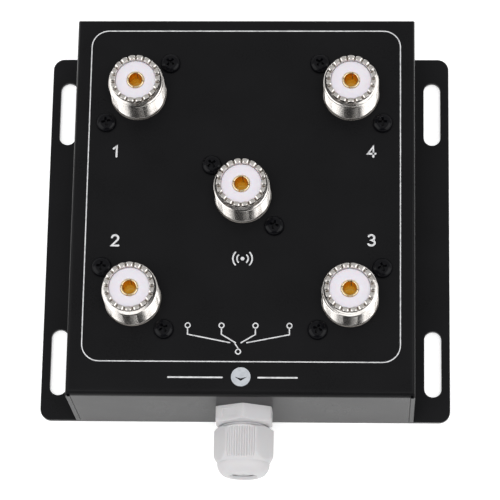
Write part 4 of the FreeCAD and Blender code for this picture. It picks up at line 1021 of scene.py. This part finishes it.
def body_rings():
    """The body from its tail thread, over its hexagon and neck thread, to its inside."""
    angles = ring_angles(GLAND_COLUMNS)
    hexed = hexagon(angles, 8.0, 0, 0.12)
    across = 8.0 * np.tan(flat_lean(angles, 0))
    every_other = np.round(angles / (math.pi / 3)).astype(int) % 2 == 0
    in_panel = np.clip((2.6 - np.abs(across)) / 0.15, 0, 1) * every_other
    rings = [(4.0, -8.0), (5.7, -8.0), (6.1, -7.6)]
    for height in np.arange(-7.5, -1.3, 0.125):
        rings.append((helix(height, angles, 6.2, 0.45, 1.5, -7.5, -1.4), height))
    rings += [(6.2, -1.2), (6.2, 0.8), (7.38, 0.8), (7.4, 0.0)]
    for height in (
        0.0, 0.08, 0.3, 0.6, 0.72, 0.8, 0.88, 1.1, 2.0, 3.2, 3.42, 3.5, 3.58, 3.75, 3.9, 4.05, 4.2, 4.35,
        4.5, 4.65, 4.8, 4.9, 4.96,
    ):
        edge = 9.1 + height * 2.0
        front = 9.24 - max(height - 3.9, 0) * 1.85
        radius = soft_lower(soft_lower(hexed, edge, 0.1), front, 0.15)
        window = np.clip((height - 0.72) / 0.16, 0, 1) * np.clip((3.58 - height) / 0.16, 0, 1)
        rings.append((radius - 0.42 * in_panel * window, height))
    rings += [(7.1, 5.0), (6.35, 4.98), (6.3, 5.1)]
    for height in np.arange(5.2, 11.1, 0.125):
        rings.append((helix(height, angles, 6.68, 0.45, 1.5, 5.6, 11.2), height))
    rings += [(6.3, 11.48), (6.2, 11.5), (5.6, 11.5), (5.5, 11.4), (5.5, 7.0), (4.0, 7.0)]
    return rings


gland = tidy_mesh(skin("gland_body", body_rings(), GLAND_COLUMNS), 45)
piece(
    "moulded_gland_body", gland, gland_grey, stands_for=["gland_body"], at=gland_place()
)
print(f"gland body: {len(gland.vertices)} points")

# %% [markdown]
# ## Printing
#
# White marks lie on the panel: a thin frame line, the numerals 1 to 4 beside their sockets, and plain
# signs. They could be a mask in the cover's shader, but flat meshes a fiftieth of a millimetre above the
# paint stay crisp at any size and are easy to edit.

# %% Flat marks from strokes
INK_LOW, INK_HIGH = PANEL_TOP + 0.005, PANEL_TOP + 0.03


def flat_mark(name, loops):
    """A thin slab of ink from an outer loop and its holes."""
    return plate_with_holes(name, loops, INK_LOW, INK_HIGH)


def stroke(points, width, steps=8):
    """A loop round a polyline, with round ends."""
    half = width / 2
    line = [Vector(p) for p in points]
    left, right = [], []
    for k, spot in enumerate(line):
        ahead = (line[min(k + 1, len(line) - 1)] - spot).normalized() if k < len(line) - 1 else None
        behind = (spot - line[k - 1]).normalized() if k > 0 else None
        along = ((ahead or behind) + (behind or ahead)).normalized()
        side = Vector((-along.y, along.x))
        reach = half / max(side.dot(Vector((-(ahead or behind).y, (ahead or behind).x))), 0.5)
        left.append(spot + side * reach)
        right.append(spot - side * reach)

    def round_end(centre, start):
        base = math.atan2(start.y - centre.y, start.x - centre.x)
        turns = [base - math.pi * k / steps for k in range(1, steps)]
        return [centre + Vector((math.cos(turn), math.sin(turn))) * half for turn in turns]

    loop = left + round_end(line[-1], left[-1]) + right[::-1] + round_end(line[0], right[0])
    return [(p.x, p.y) for p in loop]


# %% Numerals drawn with a pen
NUMERALS = {
    "1": [[(-0.75, 0.85), (0.13, 1.55), (0.1, -1.55)]],
    "2": [arc(0, 0.66, 0.93, 0.89, 165, -35, 12) + [(-0.93, -1.55), (1.02, -1.55)]],
    "3": [arc(0, 0.78, 0.84, 0.77, 150, -90, 12) + arc(0, -0.77, 0.99, 0.78, 90, -150, 12)[1:]],
    "4": [[(0.49, -1.55), (0.49, 1.55), (-1.06, -0.62), (1.1, -0.62)]],
}
NUMERAL_PEN = 0.58


def pen_marks(name, lines, pen):
    """Slabs of ink for several pen lines."""
    return [(flat_mark(name, [stroke(line, pen)]), Matrix()) for line in lines]


marks = []
for sign, x, y in (("1", -36.85, 15.8), ("2", -36.4, -11.0), ("3", 36.8, -10.7), ("4", 36.8, 15.9)):
    lines = [[(x + px, y + py) for px, py in line] for line in NUMERALS[sign]]
    marks += pen_marks(f"numeral_{sign}", lines, NUMERAL_PEN)
piece("printed_numerals", joined("printed_numerals", marks), ink_white)
print(f"numerals: {len(marks)} strokes")

# %% [markdown]
# The frame line has round corners and is thinner than half a millimetre. The other signs are plain ones
# that any such switch could wear: waves on both sides of a dot for the transmitter's socket, and a small
# diagram of one line that can reach four others, drawn as a few pen lines and rings.

# %% The frame line
def rounded_box(left, right, front, back, corner, steps=10):
    """Points round a rectangle with round corners."""
    points = []
    for turn, (x, y) in enumerate(((right, back), (left, back), (left, front), (right, front))):
        sign_x = 1 if turn in (0, 3) else -1
        sign_y = 1 if turn in (0, 1) else -1
        middle = x - sign_x * corner, y - sign_y * corner
        points += arc(*middle, corner, corner, 90 * turn, 90 * turn + 90, steps)
    return points


LINE = 0.30
FRAME_LEFT, FRAME_RIGHT, FRAME_FRONT, FRAME_BACK, FRAME_CORNER = -44.92, 45.08, -46.5, 52.95, 5.0
frame_loops = []
for out in (LINE / 2, -LINE / 2):
    frame_loops.append(rounded_box(
        FRAME_LEFT - out, FRAME_RIGHT + out, FRAME_FRONT - out, FRAME_BACK + out, FRAME_CORNER + out,
    ))
piece("printed_frame_line", flat_mark("frame_line", frame_loops), ink_white)

# %% The plain signs
RULE_Y, RULE_PEN, WAVE_PEN = -51.1, 0.45, 0.42
signs = []
for left, right in ((-20.2, -5.0), (5.2, 16.1)):
    signs += pen_marks("rule", [[(left, RULE_Y), (right, RULE_Y)]], RULE_PEN)
WAVES_X, WAVES_Y = 0.2, -16.3
signs.append((flat_mark("dot", [circle_points(WAVES_X, WAVES_Y, 0.55, 20)]), Matrix()))
for radius in (1.6, 2.75):
    for first in (-42, 138):
        wave = arc(WAVES_X, WAVES_Y, radius, radius, first, first + 84, 12)
        signs += pen_marks("wave", [wave], WAVE_PEN)


def ring_mark(x, y, radius, pen):
    """A small ring."""
    loops = [circle_points(x, y, radius + pen / 2, 24), circle_points(x, y, radius - pen / 2, 24)]
    return flat_mark("ring", loops), Matrix()


DIAGRAM_X, DIAGRAM_LOW, DIAGRAM_HIGH, DIAGRAM_PEN = -0.6, -43.6, -36.0, 0.34
RING, BRANCH_STEP = 0.7, 9.6
signs.append(ring_mark(DIAGRAM_X, DIAGRAM_LOW, RING, DIAGRAM_PEN))
for step in (-1.5, -0.5, 0.5, 1.5):
    end_x = DIAGRAM_X + step * BRANCH_STEP
    signs.append(ring_mark(end_x, DIAGRAM_HIGH, RING, DIAGRAM_PEN))
    foot = (DIAGRAM_X + step * 1.6, DIAGRAM_LOW + 2.6)
    knee = [(end_x, DIAGRAM_HIGH - 0.9), (end_x, DIAGRAM_HIGH - 2.6), foot]
    signs += pen_marks("branch", [knee], DIAGRAM_PEN)
arm = [(DIAGRAM_X, DIAGRAM_LOW + 0.9), (DIAGRAM_X - 0.9, DIAGRAM_LOW + 2.3)]
signs += pen_marks("arm", [arm], DIAGRAM_PEN)
piece("printed_signs", joined("printed_signs", signs), ink_white)
arrow = [(-1.55, -50.85), (0.28, -51.35), (2.1, -50.85), (0.28, -52.05)]
disc = flat_mark("disc", [circle_points(0.28, -50.88, 2.75, 48), arrow])
piece("printed_disc", disc, ink_pale)
print(f"frame line, {len(signs)} plain marks and a disc")

# %% [markdown]
# ## Floor and light
#
# The photograph has a plain white ground that throws light back up at the box: it is what makes the black
# front wall look grey. Two large soft boxes stand left and right of the camera, with a darker gap between
# them that polished barrels show as their dark middle stripe. A third hangs above and lights only what is
# matt. Each side box is doubled by a sheen light that only gloss sees, because metal in the photograph is
# much brighter against the plastic than one light would make it.

# %% White floor
def pale_floor():
    floor = Finish("pale_floor")
    cloud = floor.noise(3.0, 2.0)
    floor.feed(
        Base_Color=floor.blend(cloud, (0.84, 0.84, 0.84, 1), (0.86, 0.86, 0.86, 1)),
        Roughness=(0.7 + cloud * 0.1),
    )
    floor.shader.inputs["Emission Color"].default_value = (1, 1, 1, 1)
    floor.shader.inputs["Emission Strength"].default_value = 0.44
    return floor.material


FLOOR_REACH, FLOOR_HEIGHT = 4, -0.0005
ground = bpy.data.meshes.new("floor")
floor_signs = ((-1, -1), (1, -1), (1, 1), (-1, 1))
corners = [(x * FLOOR_REACH, y * FLOOR_REACH, FLOOR_HEIGHT) for x, y in floor_signs]
ground.from_pydata(corners, [], [(0, 1, 2, 3)])
ground.materials.append(pale_floor())
floor = bpy.data.objects.new("floor", ground)
bpy.context.scene.collection.objects.link(floor)
floor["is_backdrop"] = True

# %% Soft boxes and room
def soft_box(name, place, width, height, watts, glossy=True, diffuse=True):
    """A large area light that faces the switch. It may leave out gloss or leave out all but gloss."""
    lamp = bpy.data.lights.new(name, "AREA")
    lamp.shape = "RECTANGLE"
    lamp.size, lamp.size_y = width, height
    lamp.energy = watts
    thing = bpy.data.objects.new(name, lamp)
    thing.location = place
    thing.rotation_euler = (-Vector(place)).to_track_quat("-Z", "Y").to_euler()
    thing.visible_glossy = glossy
    thing.visible_diffuse = diffuse
    bpy.context.scene.collection.objects.link(thing)


SIDE_SIZE = (2.1, 1.5)
soft_box("left_box", (-1.40, -0.60, 1.15), *SIDE_SIZE, 6.5)
soft_box("right_box", (1.40, -0.60, 1.15), *SIDE_SIZE, 6.5)
soft_box("left_sheen", (-1.40, -0.60, 1.14), *SIDE_SIZE, 8, diffuse=False)
soft_box("right_sheen", (1.40, -0.60, 1.14), *SIDE_SIZE, 9.5, diffuse=False)
soft_box("top_box", (0.0, -0.4, 2.4), 1.6, 1.2, 42, glossy=False)

# %% [markdown]
# The room is not one even grey. Polished metal shows it, so it matters: it is bright low down, dimmer
# overhead, and dark where the photographer stands. The world's own direction says where a ray goes.

# %% The room
room = bpy.data.worlds.new("room")
room.use_nodes = True
sky = Graph(room.node_tree)
direction = sky.node("ShaderNodeTexCoord", {}, {})
rise = sky.part(direction, "Z")
level = sky.ramp(rise, (0.0, 0.6), (0.35, 0.6), (0.65, 0.42), (0.90, 0.55), (1.0, 0.60))
ahead = sky.ramp(0 - sky.part(direction, "Y"), (0.40, 0.0), (0.56, 1.0))
raised = sky.ramp(rise, (0.20, 0.0), (0.36, 1.0))
strength = level * (1 - ahead * raised * 0.95)
glow = room.node_tree.nodes["Background"]
glow.inputs["Color"].default_value = (1, 1, 1, 1)
sky.join(glow.inputs["Strength"], strength)
bpy.context.scene.world = room
bpy.context.scene.view_settings.view_transform = "Standard"
print("floor, five lights and a room")

# %% Sizes of the solids and of the dressed switch
visual_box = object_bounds()
for name, box in (("solids", cad_box), ("dressed", visual_box)):
    print(name, [round(side * 1000, 2) for side in box[1] - box[0]], "mm")
